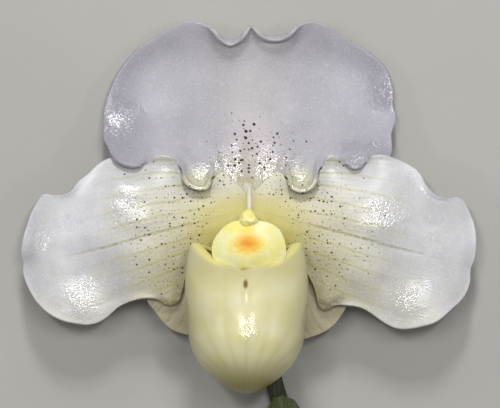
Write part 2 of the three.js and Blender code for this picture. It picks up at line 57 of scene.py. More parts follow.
# Margins, anticlockwise as seen from the front: x, y, z and, where the rim rolls towards the
# face, the roll's turn in degrees.
DORSAL_MARGIN = [
    [34.4, 18.2, 8.8], [34.9, 20.6, 8.0], [34.7, 23.7, 6.6], [35.6, 26.4, 5.2],
    [35.8, 28.3, 4.6], [35.2, 30.8, 4.4], [35.3, 34.2, 3.9], [34.2, 38.4, 3.2],
    [32.7, 41.2, 3.0], [28.8, 44.4, 2.6],
    [24.6, 47.0, 2.6], [21.8, 49.3, 3.0], [18.4, 50.8, 3.4], [15.7, 51.4, 3.8],
    [12.6, 50.9, 4.0, 20], [11.0, 49.2, 3.6, 90], [9.6, 48.1, 3.2, 140], [7.6, 47.6, 3.0, 165],
    [4.6, 47.6, 3.0, 160], [2.6, 48.2, 3.4, 115], [1.4, 49.7, 4.2, 55], [0.5, 50.3, 4.6, 30],
    [-0.2, 49.7, 4.2, 55], [-1.0, 48.2, 3.6, 115], [-2.7, 47.0, 3.2, 160], [-4.7, 46.5, 3.0, 170],
    [-6.9, 47.2, 3.2, 150], [-8.5, 48.9, 3.6, 90], [-10.0, 50.4, 4.0, 20], [-11.9, 51.1, 4.0],
    [-14.5, 51.7, 3.8], [-19.4, 50.0, 3.0], [-24.0, 47.1, 2.4], [-27.1, 45.1, 2.4],
    [-30.5, 41.2, 2.8], [-33.0, 37.3, 3.4], [-34.4, 33.4, 4.2], [-35.4, 30.0, 4.6],
    [-35.5, 25.7, 5.6], [-35.4, 22.5, 7.6], [-34.3, 20.4, 9.6], [-33.4, 18.6, 11.8],
    [-32.0, 17.1, 13.4], [-30.3, 16.2, 14.3], [-28.1, 15.8, 14.6], [-26.3, 16.1, 14.2],
    [-25.5, 16.6, 12.6], [-25.0, 16.4, 10.9], [-24.3, 15.5, 10.2], [-23.2, 14.5, 10.0],
    [-21.4, 14.0, 10.0], [-19.6, 14.0, 10.2], [-18.3, 14.5, 10.8], [-17.6, 15.2, 11.4],
    [-17.1, 15.7, 12.8],
    [-16.5, 15.5, 13.6], [-16.0, 14.2, 14.0, 30], [-15.6, 12.6, 14.2, 70], [-14.1, 11.2, 14.3, 100],
    [-11.9, 10.4, 14.3, 110], [-10.2, 10.8, 14.3, 100], [-9.5, 12.0, 14.2, 70],
    [-9.0, 13.1, 13.9, 20], [-8.5, 13.4, 13.2], [-7.9, 12.8, 12.4], [-7.0, 11.6, 12.3],
    [-6.0, 10.2, 12.4], [-4.7, 8.7, 12.6], [-3.2, 6.8, 12.9], [-2.0, 4.1, 13.2],
    [0.0, 3.0, 13.2], [2.0, 4.1, 13.2], [3.4, 7.0, 12.9], [4.9, 9.0, 12.6],
    [6.3, 10.4, 12.4], [7.3, 11.7, 12.3], [8.2, 12.9, 12.4],
    [8.7, 13.4, 13.2], [9.2, 13.1, 13.9, 20], [9.7, 12.1, 14.2, 70], [10.4, 10.9, 14.3, 100],
    [11.6, 10.1, 14.3, 110], [13.2, 9.9, 14.3, 110], [15.1, 10.8, 14.3, 100],
    [16.1, 12.4, 14.2, 70], [16.5, 14.0, 14.0, 30], [17.0, 15.3, 13.5], [17.5, 15.6, 12.6],
    [18.0, 15.2, 11.4],
    [18.5, 14.5, 10.8], [19.7, 14.0, 10.2], [21.0, 14.0, 10.0], [22.0, 14.6, 10.2],
    [22.8, 15.6, 10.8], [23.3, 16.2, 12.2], [23.9, 16.2, 13.6], [24.7, 15.6, 14.3],
    [26.0, 15.4, 14.6], [27.1, 15.9, 14.2], [27.9, 16.6, 12.8], [28.4, 16.7, 11.2],
    [29.2, 16.4, 10.0], [30.4, 16.0, 9.4], [32.2, 16.4, 9.0],
]

PETAL_RIGHT_MARGIN = [
    [55.1, -2.2, 10.2], [54.7, 1.5, 9.6], [53.6, 4.4, 9.0], [52.5, 6.7, 8.7],
    [51.0, 8.2, 9.0], [48.8, 8.1, 10.4], [46.9, 8.3, 11.8], [44.6, 9.4, 12.9],
    [42.8, 11.4, 13.2], [41.7, 13.7, 12.8], [40.4, 15.2, 12.3], [38.0, 16.6, 11.8],
    [36.3, 17.4, 12.0], [34.4, 18.2, 12.7], [32.6, 18.7, 13.1], [31.0, 18.7, 13.1],
    [29.8, 18.4, 12.8], [29.2, 17.4, 12.0], [28.4, 16.6, 10.6], [27.0, 16.5, 9.8],
    [25.6, 16.4, 9.6], [24.3, 16.3, 10.2], [23.3, 16.1, 11.2], [22.4, 16.5, 12.4],
    [21.6, 18.0, 13.8], [20.2, 18.6, 14.4], [18.9, 18.2, 14.3], [18.4, 17.3, 13.8],
    [18.0, 16.0, 13.0], [16.9, 14.4, 12.2], [15.8, 12.8, 11.8], [14.3, 11.5, 11.6],
    [12.8, 11.0, 11.6], [11.2, 11.5, 11.8], [10.2, 12.6, 12.4], [9.1, 12.8, 13.0],
    [8.1, 13.9, 12.9], [7.0, 14.5, 12.9], [5.5, 13.9, 13.4], [3.8, 12.4, 14.1],
    [2.3, 10.9, 14.7], [1.2, 9.7, 15.2], [0.6, 7.9, 15.7], [0.5, 6.1, 16.0],
    [0.9, 4.4, 16.1], [2.4, 3.1, 16.1], [3.2, 0.8, 15.8], [3.3, -1.8, 15.3],
    [4.5, -4.2, 14.8], [6.8, -5.6, 14.4], [10.0, -7.2, 14.2], [13.8, -9.7, 14.0],
    [15.3, -12.4, 13.8], [16.2, -14.9, 13.4], [16.7, -17.0, 12.9], [17.2, -18.3, 12.5],
    [18.2, -19.0, 12.3], [19.3, -18.7, 12.7], [21.1, -17.8, 13.6], [23.4, -17.8, 14.2],
    [26.9, -18.3, 14.2], [29.8, -19.9, 13.6], [32.2, -21.7, 13.3], [34.9, -23.1, 13.2],
    [37.5, -23.6, 13.2], [41.9, -22.9, 13.6], [45.4, -21.8, 13.8], [48.7, -19.1, 13.3],
    [52.2, -15.7, 11.4], [53.6, -12.1, 9.6], [53.7, -8.9, 9.1], [54.7, -6.5, 9.6],
]

PETAL_LEFT_MARGIN = [
    [-54.9, -1.9, 10.0], [-55.3, -5.1, 9.2], [-54.6, -7.4, 8.4], [-54.8, -9.8, 8.8],
    [-53.8, -13.0, 10.2], [-51.4, -17.1, 12.0], [-48.5, -19.8, 13.4], [-44.9, -21.6, 13.6],
    [-41.4, -22.3, 13.2], [-39.1, -22.5, 13.0], [-36.7, -22.0, 12.9], [-34.4, -20.7, 13.0],
    [-31.7, -18.3, 13.3], [-29.7, -17.2, 13.4], [-27.6, -16.5, 14.2], [-24.8, -16.0, 14.6],
    [-22.4, -16.3, 13.9], [-20.7, -17.3, 12.9], [-19.4, -17.8, 12.3], [-17.3, -17.1, 12.4],
    [-16.5, -15.1, 12.9], [-15.9, -13.1, 13.4], [-15.4, -11.0, 13.8], [-13.0, -8.6, 14.0],
    [-9.6, -6.9, 14.2], [-6.6, -5.5, 14.4], [-4.5, -4.2, 14.8], [-3.3, -1.8, 15.3],
    [-3.2, 0.8, 15.8], [-2.4, 3.1, 16.1], [-0.9, 4.4, 16.1], [-0.4, 5.8, 16.0],
    [-0.5, 7.8, 15.7], [-1.0, 9.7, 15.2], [-2.6, 11.3, 14.7], [-4.7, 13.4, 13.7],
    [-6.4, 14.5, 12.9], [-7.5, 13.9, 12.9], [-8.6, 13.0, 12.7], [-9.5, 12.7, 12.4],
    [-10.6, 11.9, 11.8], [-12.0, 11.5, 11.6], [-13.6, 12.0, 11.6], [-15.0, 13.1, 11.8],
    [-16.2, 14.5, 12.2], [-17.4, 16.0, 12.9], [-18.1, 17.3, 13.8], [-18.9, 18.2, 14.3],
    [-21.1, 18.7, 14.4], [-22.8, 18.2, 13.8], [-23.7, 17.2, 12.8], [-24.6, 16.5, 11.6],
    [-25.6, 16.7, 10.4], [-27.0, 16.7, 9.8], [-28.6, 16.8, 9.6], [-30.4, 17.2, 9.6],
    [-32.2, 17.8, 9.6], [-33.6, 17.9, 9.6], [-34.9, 17.4, 9.8], [-36.6, 16.4, 10.6],
    [-38.5, 14.5, 11.8], [-40.1, 13.2, 12.6], [-41.4, 12.1, 13.3], [-42.2, 10.7, 13.6],
    [-43.9, 9.4, 12.8], [-45.6, 8.9, 11.4], [-47.8, 8.9, 9.9], [-49.8, 9.1, 9.0],
    [-51.4, 7.0, 8.6], [-52.9, 4.4, 9.0], [-53.8, 1.7, 9.6], [-54.5, -0.2, 10.0],
]

SYNSEPALUM_MARGIN = [
    [0.0, -3.1, 11.8], [-3.5, -4.0, 11.4], [-8.0, -7.0, 10.8], [-14.0, -9.5, 10.5],
    [-19.5, -12.0, 10.6], [-23.5, -14.5, 11.0], [-24.8, -16.4, 11.3], [-23.2, -18.9, 11.1],
    [-20.8, -22.0, 10.6], [-18.7, -23.8, 10.2], [-16.4, -24.6, 9.9], [-14.1, -25.2, 9.7],
    [-9.0, -27.5, 9.2], [-4.0, -29.2, 9.0], [0.0, -29.8, 9.0], [4.5, -29.4, 9.0],
    [9.0, -28.0, 9.2], [12.8, -26.3, 9.5], [15.6, -25.4, 9.8], [18.5, -24.2, 10.1],
    [20.6, -22.6, 10.4], [22.4, -20.3, 10.8], [23.6, -17.9, 11.0], [22.4, -15.2, 10.9],
    [18.5, -12.0, 10.6], [13.0, -9.2, 10.5], [7.5, -6.7, 10.8], [3.5, -4.0, 11.4],
]

SHIELD_MARGIN = [
    [8.7, -3.6, 33.4], [8.2, -1.2, 33.6], [7.1, 0.8, 33.8], [5.4, 2.1, 34.0],
    [3.3, 2.7, 34.2], [1.4, 3.0, 34.4], [-1.4, 3.0, 34.4], [-3.6, 2.7, 34.2],
    [-5.4, 1.8, 34.0], [-7.0, 0.2, 33.7], [-8.2, -1.6, 33.4], [-8.7, -3.6, 33.2],
    [-8.6, -5.4, 33.2], [-7.6, -7.1, 33.4], [-5.6, -7.9, 33.8], [-3.6, -8.5, 34.1],
    [-2.2, -9.2, 34.2], [-0.8, -9.5, 34.2], [0.6, -9.2, 34.2], [2.0, -8.5, 34.1],
    [4.6, -8.0, 33.8], [7.2, -7.4, 33.4], [8.5, -5.7, 33.2],
]

LINES_MAP = "Lines"  # the UV map that holds a blade's lines of growth
LINES_SCALE = 0.02  # of its second direction, for each mm

POUCH_WALL_SHARE = 0.88  # of the pouch's sheet that is wall; the rest folds into the mouth
POUCH_KEEL = {"height": 0.35, "width": 0.7, "top": -10.8, "foot": -19}
POUCH_NOTCH = {"across": -0.07, "width": 0.07, "depth": 0.6}
POUCH_DIMPLE = {"x": -0.2, "y": -12.1, "width": 0.9, "depth": 0.12}
BRACT_ROOT, BRACT_TIP = 1.0, 0.72  # shares of the ovary's length

ROLL_LENGTH = 4.6  # the strip of the sepal's margin that rolls towards the face
MIDRIB_LEAN = 0.012  # of the sepal's midrib to the right for each mm up
RING_CROWDING = 1.2  # how much closer the rings lie at the margin than at the core
CORE_SHARE = 0.25  # of a blade's rings that fill the rounded core about its spine
LYING_HEIGHT = 0.3  # of a blade's middle surface where its back lies on the ground
LYING_SOFTNESS = 1.0  # how gently a blade bends off the ground
LOBE_REST = {"x": 21.5, "y": 36.5, "width": 13, "drop": 3.0}

POUCH_MIDDLE_X = -0.6
POUCH_TOE_Y = -37.6
POUCH_EAR_Y = -2.9
POUCH_LIP_Y = -9.2
POUCH_BACK_Y = -3.4
POUCH_ROUND_Y = -23

COLUMN_FOOT_Z = 12.9
COLUMN_TOP_Z = 33.7
COLUMN_LEAN = -0.06

# Rounded masses: the middle and the radii, in mm. The anther is the right one.
CLAW_KEEL = ((0.05, 6.6, 14.9), (1.0, 5.0, 2.4))
CLAW_KEEL_FALL = 0.2  # of the keel towards the sepal, for each mm
KNOB = ((-0.1, 3.3, 34.2), (1.9, 2.3, 2.0))
STIGMA = ((0, -3.9, 24.6), (2.7, 1.9, 2.5))
ANTHER = ((4.0, -0.6, 25.6), (1.45, 1.75, 1.95))

# Grids: faces round a form, and along it.
POUCH_GRID = (160, 62)
COLUMN_GRID = (40, 40)
OVARY_GRID = (60, 150)
SCAPE_GRID = (40, 110)
BRACT_GRID = (40, 60)

OVARY_RIBS = 6
OVARY_RIB_HEIGHT = 0.16
STALK_ROUGHNESS = 0.05  # how far a stalk's skin swells and sinks
OVARY_HAIRS = {"count": 900, "seed": 11}
SCAPE_HAIRS = {"count": 700, "seed": 23}
HAIR_RADII = {"radius1": 0.07, "radius2": 0.012}  # at the root and at the tip
HAIR_CLEARANCE = 0.15  # of a hair from the ground


def smooth(t):
    """Eases t from 0 to 1."""
    t = min(1.0, max(0.0, t))
    return t * t * (3 - 2 * t)


def lerp(a, b, t):
    return a + (b - a) * t


def bump(square, width):
    """A soft round bump, 1 at the middle."""
    return math.exp(-square / (width * width))


def curve_piece(p0, p1, p2, p3):
    """The four factors of each coordinate, for the smooth curve from p1 to p2."""
    gaps = [max(1e-4, (b - a).length ** 0.5) for a, b in ((p0, p1), (p1, p2), (p2, p3))]
    before, here, after = gaps
    leave = (p1 - p0) / before - (p2 - p0) / (before + here) + (p2 - p1) / here
    arrive = (p2 - p1) / here - (p3 - p1) / (here + after) + (p3 - p2) / after
    leave, arrive = leave * here, arrive * here
    return (p1, leave, 3 * (p2 - p1) - 2 * leave - arrive, 2 * (p1 - p2) + leave + arrive)


def smooth_curve(points, closed):
    """A function of 0 to 1 that runs smoothly through the points."""
    points = [Vector(p) for p in points]
    count = len(points)
    if closed:
        spans = [[points[(k + d) % count] for d in (-1, 0, 1, 2)] for k in range(count)]
    else:
        first = 2 * points[0] - points[1]
        last = 2 * points[-1] - points[-2]
        run = [first, *points, last]
        spans = [run[k:k + 4] for k in range(count - 1)]
    pieces = [curve_piece(*span) for span in spans]

    def at(share):
        place = share * len(pieces)
        k = int(place) % len(pieces) if closed else min(int(place), len(pieces) - 1)
        t = place - math.floor(place) if closed else place - k
        a, b, c, d = pieces[k]
        return a + b * t + c * t * t + d * t * t * t

    return at


def profile(*pairs):
    """A smooth value between chosen pairs of place and value."""
    at = smooth_curve([(place, value, 0) for place, value in pairs], closed=False)
    steps = 200
    points = [at(k / steps) for k in range(steps + 1)]

    def value(place):
        if place <= points[0].x:
            return points[0].y
        for a, b in zip(points, points[1:]):
            if place <= b.x:
                return lerp(a.y, b.y, (place - a.x) / (b.x - a.x))
        return points[-1].y

    return value


# Height of each blade's own curved surface, away from the waves of its margin.
def dorsal_height(x, y):
    lean = 12.2 * bump((y - 5) ** 2, 20.9)
    square = (abs(x) - LOBE_REST["x"]) ** 2 + (y - LOBE_REST["y"]) ** 2
    return 1.7 + lean - LOBE_REST["drop"] * bump(square, LOBE_REST["width"])


def petal_height(x, y):
    reach = abs(x)
    return 15.8 + 0.12 * reach - 0.0033 * reach * reach


def synsepalum_height(x, y):
    return 10.6 + 0.05 * (y + 14) + 0.002 * x * x


def shield_height(x, y):
    return 36.6 - 0.6 * bump(x * x + (y + 3) ** 2, 2.4)


def margin_curve(rows):
    """The margin's smooth closed curve, and the roll of its rim, at a turn from 0 to 1."""
    place_at = smooth_curve([row[:3] for row in rows], closed=True)
    rolls = [row[3] if len(row) > 3 else 0 for row in rows]

    def roll_at(turn):
        place = turn * len(rows)
        here = int(place) % len(rows)
        share = smooth(place - math.floor(place))
        return math.radians(lerp(rolls[here], rolls[(here + 1) % len(rows)], share))

    return place_at, roll_at


def turn_on_ring(i, j, ring):
    """How far round its square ring a grid point lies, from 0 to 1, anticlockwise."""
    if i == ring and j > -ring:
        return (j / (8 * ring) + 1) % 1
    if j == ring:
        return (2 * ring - i) / (8 * ring)
    if i == -ring:
        return (4 * ring - j) / (8 * ring)
    return (6 * ring + i) / (8 * ring)


def rolled_strip(inset, reach, roll):
    """Where a point `inset` mm inside the margin goes when the last strip rolls up."""
    if roll < 0.02:
        return inset, 0.0
    radius = ROLL_LENGTH / roll
    spare = ROLL_LENGTH - radius * math.sin(min(roll, math.pi / 2))
    if inset >= ROLL_LENGTH:
        return inset - spare * (reach - inset) / (reach - ROLL_LENGTH), 0.0
    angle = roll * (1 - inset / ROLL_LENGTH)
    return ROLL_LENGTH - spare - radius * math.sin(angle), radius * (1 - math.cos(angle))


def flat_place(i, j, shape):
    """Where a grid point of a blade lies in the plane, and how high the rolled rim lifts it."""
    start, end, level = shape["spine"]
    middle = Vector(((start + end) / 2, level))
    ring = max(abs(i), abs(j))
    if ring == 0:
        return middle, 0.0
    turn = turn_on_ring(i, j, ring)
    rim = shape["rim_at"](turn).xy
    foot = Vector((min(end, max(start, rim.x)), level))
    reach = (rim - foot).length
    share = ring / shape["rings"]
    out = min(1.0, max(0.0, (1 - share) / (1 - CORE_SHARE)))
    inset = out ** RING_CROWDING * (reach - shape["core"])
    shifted, up = rolled_strip(inset, reach, shape["roll_at"](turn))
    place = rim.lerp(foot, shifted / reach)
    return middle.lerp(place, min(1.0, share / CORE_SHARE)), up


def wave_lift(place, shape):
    """How far the margin's waves lift a place, and how far inside the margin it lies, in mm. The
    nearer a stretch of the margin, the more it counts."""
    total, weight = 0.0, 0.0
    for rim, offset, length in shape["waves"]:
        near = length / ((place - rim).length_squared + 0.01)
        total += near * offset
        weight += near
    inset = math.pi / weight
    return total / weight * bump(inset ** 2, shape["fade"]), inset


def blade_place(i, j, shape):
    """The place of one grid point of a blade's middle surface."""
    place, up = flat_place(i, j, shape)
    lift, inset = wave_lift(place, shape)
    height = shape["height"](place.x, place.y) + lift + up
    height += shape["relief"](place.x, place.y) * smooth(inset / 3)
    over = height - LYING_HEIGHT
    height = LYING_HEIGHT + (over + math.hypot(over, LYING_SOFTNESS)) / 2
    return Vector((place.x, place.y, height))


# Lines of growth: how far across a blade a point lies, and how far out, in mm.
def petal_lines(x, y):
    reach = abs(x)
    spread = 2.5 + 17.5 * (1 - math.exp(-reach / 11))
    return (y - 5.6 + 0.26 * reach) / spread, math.hypot(x, y - 1)


def dorsal_lines(x, y):
    return math.atan2(x - MIDRIB_LEAN * y, y + 4) / 1.1, math.hypot(x, y + 4)


def synsepalum_lines(x, y):
    return math.atan2(x, 6 - y) / 1.1, math.hypot(x, y - 6)


def petal_relief(x, y):
    across, along = petal_lines(x, y)
    near = smooth(along / 8)
    ribs = 0.02 * math.cos(2 * math.pi * across / 0.2) * smooth(1.6 - along / 34)
    groove = -0.8 * math.exp(-math.hypot(across, 0.05) / 0.2) * smooth(1.9 - along / 30)
    groove *= smooth(along / 14 - 0.9)
    arch = -0.9 * across ** 2
    swell = 0.35 * noise.noise(Vector((0.11 * x, 0.16 * y, 3.1)))
    dish = -2.6 * bump((abs(x) - 38) ** 2 + (y + 11) ** 2, 6.5)
    crest = 0.9 * bump((abs(x) - 31) ** 2 + (y - 12.5) ** 2, 6)
    return near * (ribs + groove + arch + swell + dish + crest + 0.6)


def dorsal_relief(x, y):
    across, along = dorsal_lines(x, y)
    ribs = 0.04 * math.cos(2 * math.pi * across / 0.11) * smooth(1.7 - along / 32)
    midrib = -0.3 * bump(across ** 2, 0.03) * smooth(along / 9 - 0.4) * smooth(2.2 - along / 28)
    swell = 0.5 * noise.noise(Vector((0.085 * x, 0.085 * y, 7.7)))
    claw = 1.7 * bump(x * x, 1.4) * smooth((14.5 - y) / 6)
    wedge = 0.9 * bump(x * x, 6) * smooth((18 - y) / 9)
    return ribs + midrib + swell + claw + wedge


def synsepalum_relief(x, y):
    across, along = synsepalum_lines(x, y)
    return 0.05 * math.cos(2 * math.pi * across / 0.16) + 0.3 * noise.noise(
        Vector((0.1 * x, 0.1 * y, 1.3))
    )


def no_relief(x, y):
    return 0.0


# Each blade: `spine` gives the two ends of its core's line in x, and the line's y. `core` is how
# wide the core is about it, and `fade` how far a wave of the margin reaches in, both in mm.
BLADES = {
    "dorsal_sepal": {
        "margin": DORSAL_MARGIN, "spine": (-20, 20, 32), "core": 6, "fade": 5,
        "height": dorsal_height, "relief": dorsal_relief, "lines": dorsal_lines,
        "ring_share": 1.18,
    },
    "petal_left": {
        "margin": PETAL_LEFT_MARGIN, "spine": (-42, -10, -1), "core": 5, "fade": 5.5,
        "height": petal_height, "relief": petal_relief, "lines": petal_lines, "ring_share": 1,
    },
    "petal_right": {
        "margin": PETAL_RIGHT_MARGIN, "spine": (10, 42, -1), "core": 5, "fade": 5.5,
        "height": petal_height, "relief": petal_relief, "lines": petal_lines, "ring_share": 1,
    },
    "synsepalum": {
        "margin": SYNSEPALUM_MARGIN, "spine": (-14, 14, -16.5), "core": 2.5, "fade": 5,
        "height": synsepalum_height, "relief": synsepalum_relief, "lines": synsepalum_lines,
        "ring_share": 0.7,
    },
    "staminode": {
        "margin": SHIELD_MARGIN, "spine": (-4.4, 3.6, -3), "core": 1.5, "fade": 3,
        "height": shield_height, "relief": no_relief, "lines": petal_lines,
        "ring_share": 0.6,
    },
}


# Making pieces.
def blade_sheet(blade, rings):
    """A blade's middle surface: a square grid whose rings run from the spine to the margin.
    Its UV map holds the lines of growth."""
    rim_at, roll_at = margin_curve(blade["margin"])
    rims = [rim_at(k / (8 * rings)) for k in range(8 * rings)]
    height = blade["height"]
    waves = [
        (here.xy, here.z - height(here.x, here.y), (after - before).length / 2)
        for before, here, after in zip(rims[-1:] + rims, rims, rims[1:] + rims[:1])
    ]
    shape = {**blade, "rim_at": rim_at, "roll_at": roll_at, "rings": rings, "waves": waves}
    bm = bmesh.new()
    bmesh.ops.create_grid(bm, x_segments=2 * rings, y_segments=2 * rings, size=rings)
    for vert in bm.verts:
        vert.co = blade_place(round(vert.co.x), round(vert.co.y), shape)
    layer = bm.loops.layers.uv.new(LINES_MAP)
    for face in bm.faces:
        for loop in face.loops:
            across, along = blade["lines"](loop.vert.co.x, loop.vert.co.y)
            loop[layer].uv = (across, along * LINES_SCALE)
    return bm


def add_piece(name, bm, finish, stands_for=()):
    """The bmesh, in millimetres from the heart, as an object in the part's frame."""
    place = Matrix.Scale(MM, 4) @ Matrix.Translation(HEART)
    bmesh.ops.transform(bm, matrix=place, verts=bm.verts)
    mesh = bpy.data.meshes.new(name)
    bm.to_mesh(mesh)
    bm.free()
    mesh.materials.append(finish)
    piece = bpy.data.objects.new(name, mesh)
    bpy.context.scene.collection.objects.link(piece)
    for face in mesh.polygons:
        face.use_smooth = True
    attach(piece, "root")
    if stands_for:
        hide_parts(*stands_for)
    return piece


def thicken(piece, thickness):
    """Gives a sheet its thickness and a rounded rim, and keeps it off the ground."""
    wall = piece.modifiers.new("Thickness", "SOLIDIFY")
    wall.thickness = thickness
    wall.offset = 0
    soft = piece.modifiers.new("Rounding", "SUBSURF")
    soft.levels = soft.render_levels = 1
    bpy.context.view_layer.update()
    graph = bpy.context.evaluated_depsgraph_get()
    sheet = piece.data
    piece.data = bpy.data.meshes.new_from_object(
        piece.evaluated_get(graph), preserve_all_data_layers=True, depsgraph=graph
    )
    piece.data.name = piece.name
    piece.modifiers.clear()
    bpy.data.meshes.remove(sheet)
    for vert in piece.data.vertices:
        vert.co.z = max(0.0, vert.co.z)


def add_blade(name, node, finish, thickness):
    """A blade's piece, with its thickness."""
    rings = round(bpy.context.scene.bloom_sizes.rings * BLADES[node]["ring_share"])
    piece = add_piece(name, blade_sheet(BLADES[node], rings), finish, [node])
    thicken(piece, thickness)


def ellipsoid(centre, radii):
    bm = bmesh.new()
    bmesh.ops.create_uvsphere(bm, u_segments=32, v_segments=20, radius=1)
    place = Matrix.Translation(centre) @ Matrix.Diagonal((*radii, 1))
    bmesh.ops.transform(bm, matrix=place, verts=bm.verts)
    return bm


def bend_grid(around, along, place, closed):
    """A grid bent by place(share around, share along); a closed one has its seam merged. Its UV
    map holds the two shares."""
    bm = bmesh.new()
    bmesh.ops.create_grid(bm, x_segments=around, y_segments=along, size=0.5)
    layer = bm.loops.layers.uv.new(LINES_MAP)
    for face in bm.faces:
        for loop in face.loops:
            loop[layer].uv = (loop.vert.co.x + 0.5, loop.vert.co.y + 0.5)
    for vert in bm.verts:
        vert.co = place(vert.co.x + 0.5, vert.co.y + 0.5)
    if closed:
        bmesh.ops.remove_doubles(bm, verts=bm.verts, dist=0.001)
    return bm


def closed_tube(around, along, place):
    """A tube bent by `place`, with both its ends closed."""
    bm = bend_grid(around, along, place, closed=True)
    bmesh.ops.holes_fill(bm, edges=[edge for edge in bm.edges if edge.is_boundary], sides=0)
    bmesh.ops.recalc_face_normals(bm, faces=bm.faces)
    return bm


# The pouch: level rings round a line from the toe up to the mouth, closing in on the toe.
pouch_half_width = profile((-23, 13.3), (-18, 13.9), (-12, 14.1), (-7, 13.7), (-2.5, 12.9))
pouch_half_depth = profile((-23, 14.3), (-17, 14.0), (-12, 12.1), (-9, 10.4), (-2.5, 7.2))
pouch_middle_z = profile((-37.6, 31.9), (-30, 30.9), (-23, 30.0), (-14, 28.6), (-2.5, 25.4))


def pouch_rim_y(turn):
    across, front = abs(math.cos(turn)), math.sin(turn)
    low = POUCH_LIP_Y if front > 0 else POUCH_BACK_Y - 1.5 * bump((across - 0.72) ** 2, 0.2)
    notch = POUCH_NOTCH["depth"] * max(0.0, front) * bump(
        (math.cos(turn) - POUCH_NOTCH["across"]) ** 2, POUCH_NOTCH["width"]
    )
    return low - notch + (POUCH_EAR_Y - low) * across ** 2.5


def pouch_place(turn, up):
    """A place on the pouch's wall; `up` runs from the toe to the rim."""
    y = lerp(POUCH_TOE_Y, pouch_rim_y(turn), up ** 1.45)
    below = max(0.0, (y - POUCH_ROUND_Y) / (POUCH_TOE_Y - POUCH_ROUND_Y))
    close = max(0.0, 1 - below ** 2) ** 0.68
    x = POUCH_MIDDLE_X + pouch_half_width(y) * close * math.cos(turn)
    z = pouch_middle_z(y) + pouch_half_depth(y) * close * math.sin(turn)
    front = max(0.0, math.sin(turn))
    beside = x - POUCH_MIDDLE_X
    keel = POUCH_KEEL["height"] * bump(beside ** 2, POUCH_KEEL["width"])
    keel *= smooth((POUCH_KEEL["top"] - y) / 2) * smooth((y - POUCH_KEEL["foot"]) / 5)
    dimple = POUCH_DIMPLE["depth"] * bump(
        (beside - POUCH_DIMPLE["x"]) ** 2 + (y - POUCH_DIMPLE["y"]) ** 2, POUCH_DIMPLE["width"]
    )
    return Vector((x, y, z + front * (keel - dimple)))


def pouch_wall_place(around, along):
    """The wall up to the rim, and from there the side lobes that fold into the mouth."""
    turn = 2 * math.pi * around
    up = along / POUCH_WALL_SHARE
    if up <= 1:
        return pouch_place(turn, up)
    rim = pouch_place(turn, 1)
    fold = (up - 1) / (1 / POUCH_WALL_SHARE - 1)
    front = math.sin(turn)
    beside = smooth((abs(math.cos(turn)) - 0.12) / 0.5)
    length = 0.7 + (1.5 if front > 0 else 0.6) * beside
    inwards = Vector((-math.cos(turn), 0, -front)).normalized()
    bend = math.sin(math.pi / 2 * fold)
    out = inwards * (length * bend) + Vector((0, 0.75 * max(0.0, front) * length * bend, 0))
    return rim + out + Vector((0, -0.5 * length * fold ** 2, 0))


def stalk_frame(curve, share):
    """A place on a stalk's line, with the directions to its side and its top."""
    at = curve(share)
    ahead = (curve(min(1, share + 0.002)) - curve(max(0, share - 0.002))).normalized()
    side = Vector((1, 0, 0))
    side = (side - ahead * side.dot(ahead)).normalized()
    return at, side, ahead.cross(side).normalized()


ovary_curve = smooth_curve(
    [
        (0, 0, 12.4), (0, -0.1, 10.2), (0.3, -3.4, 6.0), (1.0, -10, 4.1),
        (2.9, -22, 3.1), (6.9, -39.5, 2.9), (11.6, -51, 2.9), (17.2, -63.6, 3.0),
    ],
    closed=False,
)
ovary_radius = profile((0, 2.9), (0.05, 2.5), (0.2, 2.3), (0.5, 2.2), (0.8, 1.9), (1, 1.8))
scape_curve = smooth_curve(
    [
        (17.4, -64, 3.0), (22.6, -77, 3.4), (27.2, -92, 3.4), (31.0, -108, 2.2),
        (32.8, -118, 2.2),
    ],
    closed=False,
)
scape_radius = profile((0, 2.3), (0.03, 2.7), (0.08, 2.7), (0.25, 2.35), (1, 2.45))


def stalk(curve, radius, grid, ribs=0, rib_height=0.0):
    """A closed stalk along a curve, with low ribs along it."""

    def place(turn_share, share):
        at, side, top = stalk_frame(curve, share)
        turn = 2 * math.pi * turn_share
        out = radius(share) + rib_height * math.cos(ribs * turn)
        swell = Vector((3 * math.cos(turn), 3 * math.sin(turn), 40 * share))
        out += STALK_ROUGHNESS * noise.noise(swell)
        at = at + side * (out * math.cos(turn)) + top * (out * math.sin(turn))
        at.z = max(0.0, at.z)
        return at

    return closed_tube(*grid, place)


def hairs(curve, radius, length, count, seed):
    """Short hairs that stand out from a stalk: slim cones with their roots sunk in."""
    draw = random.Random(seed)
    bm = bmesh.new()
    for _ in range(count):
        share = draw.uniform(0.02, 0.98)
        turn = draw.uniform(0, 2 * math.pi)
        lean = Vector((draw.uniform(-0.4, 0.4), draw.uniform(-0.4, 0.4), draw.uniform(-0.4, 0.4)))
        tall = length * draw.uniform(0.6, 1.3)
        at, side, top = stalk_frame(curve, share)
        out = side * math.cos(turn) + top * math.sin(turn)
        root = at + out * (radius(share) - 0.1)
        tip = root + (out + lean).normalized() * tall
        if min(root.z, tip.z) < HAIR_CLEARANCE:
            continue
        turned = (tip - root).to_track_quat("Z", "Y").to_matrix().to_4x4()
        middle = Matrix.Translation((root + tip) / 2) @ turned
        bmesh.ops.create_cone(
            bm, segments=3, depth=tall, cap_ends=True, matrix=middle, **HAIR_RADII
        )
    return bm


bract_open = profile((0, 112), (0.5, 104), (0.85, 62), (1, 12))  # degrees to each side
bract_loose = profile((0, 2.7), (0.3, 3.0), (0.7, 3.6), (1, 4.6))  # mm from the ovary's line


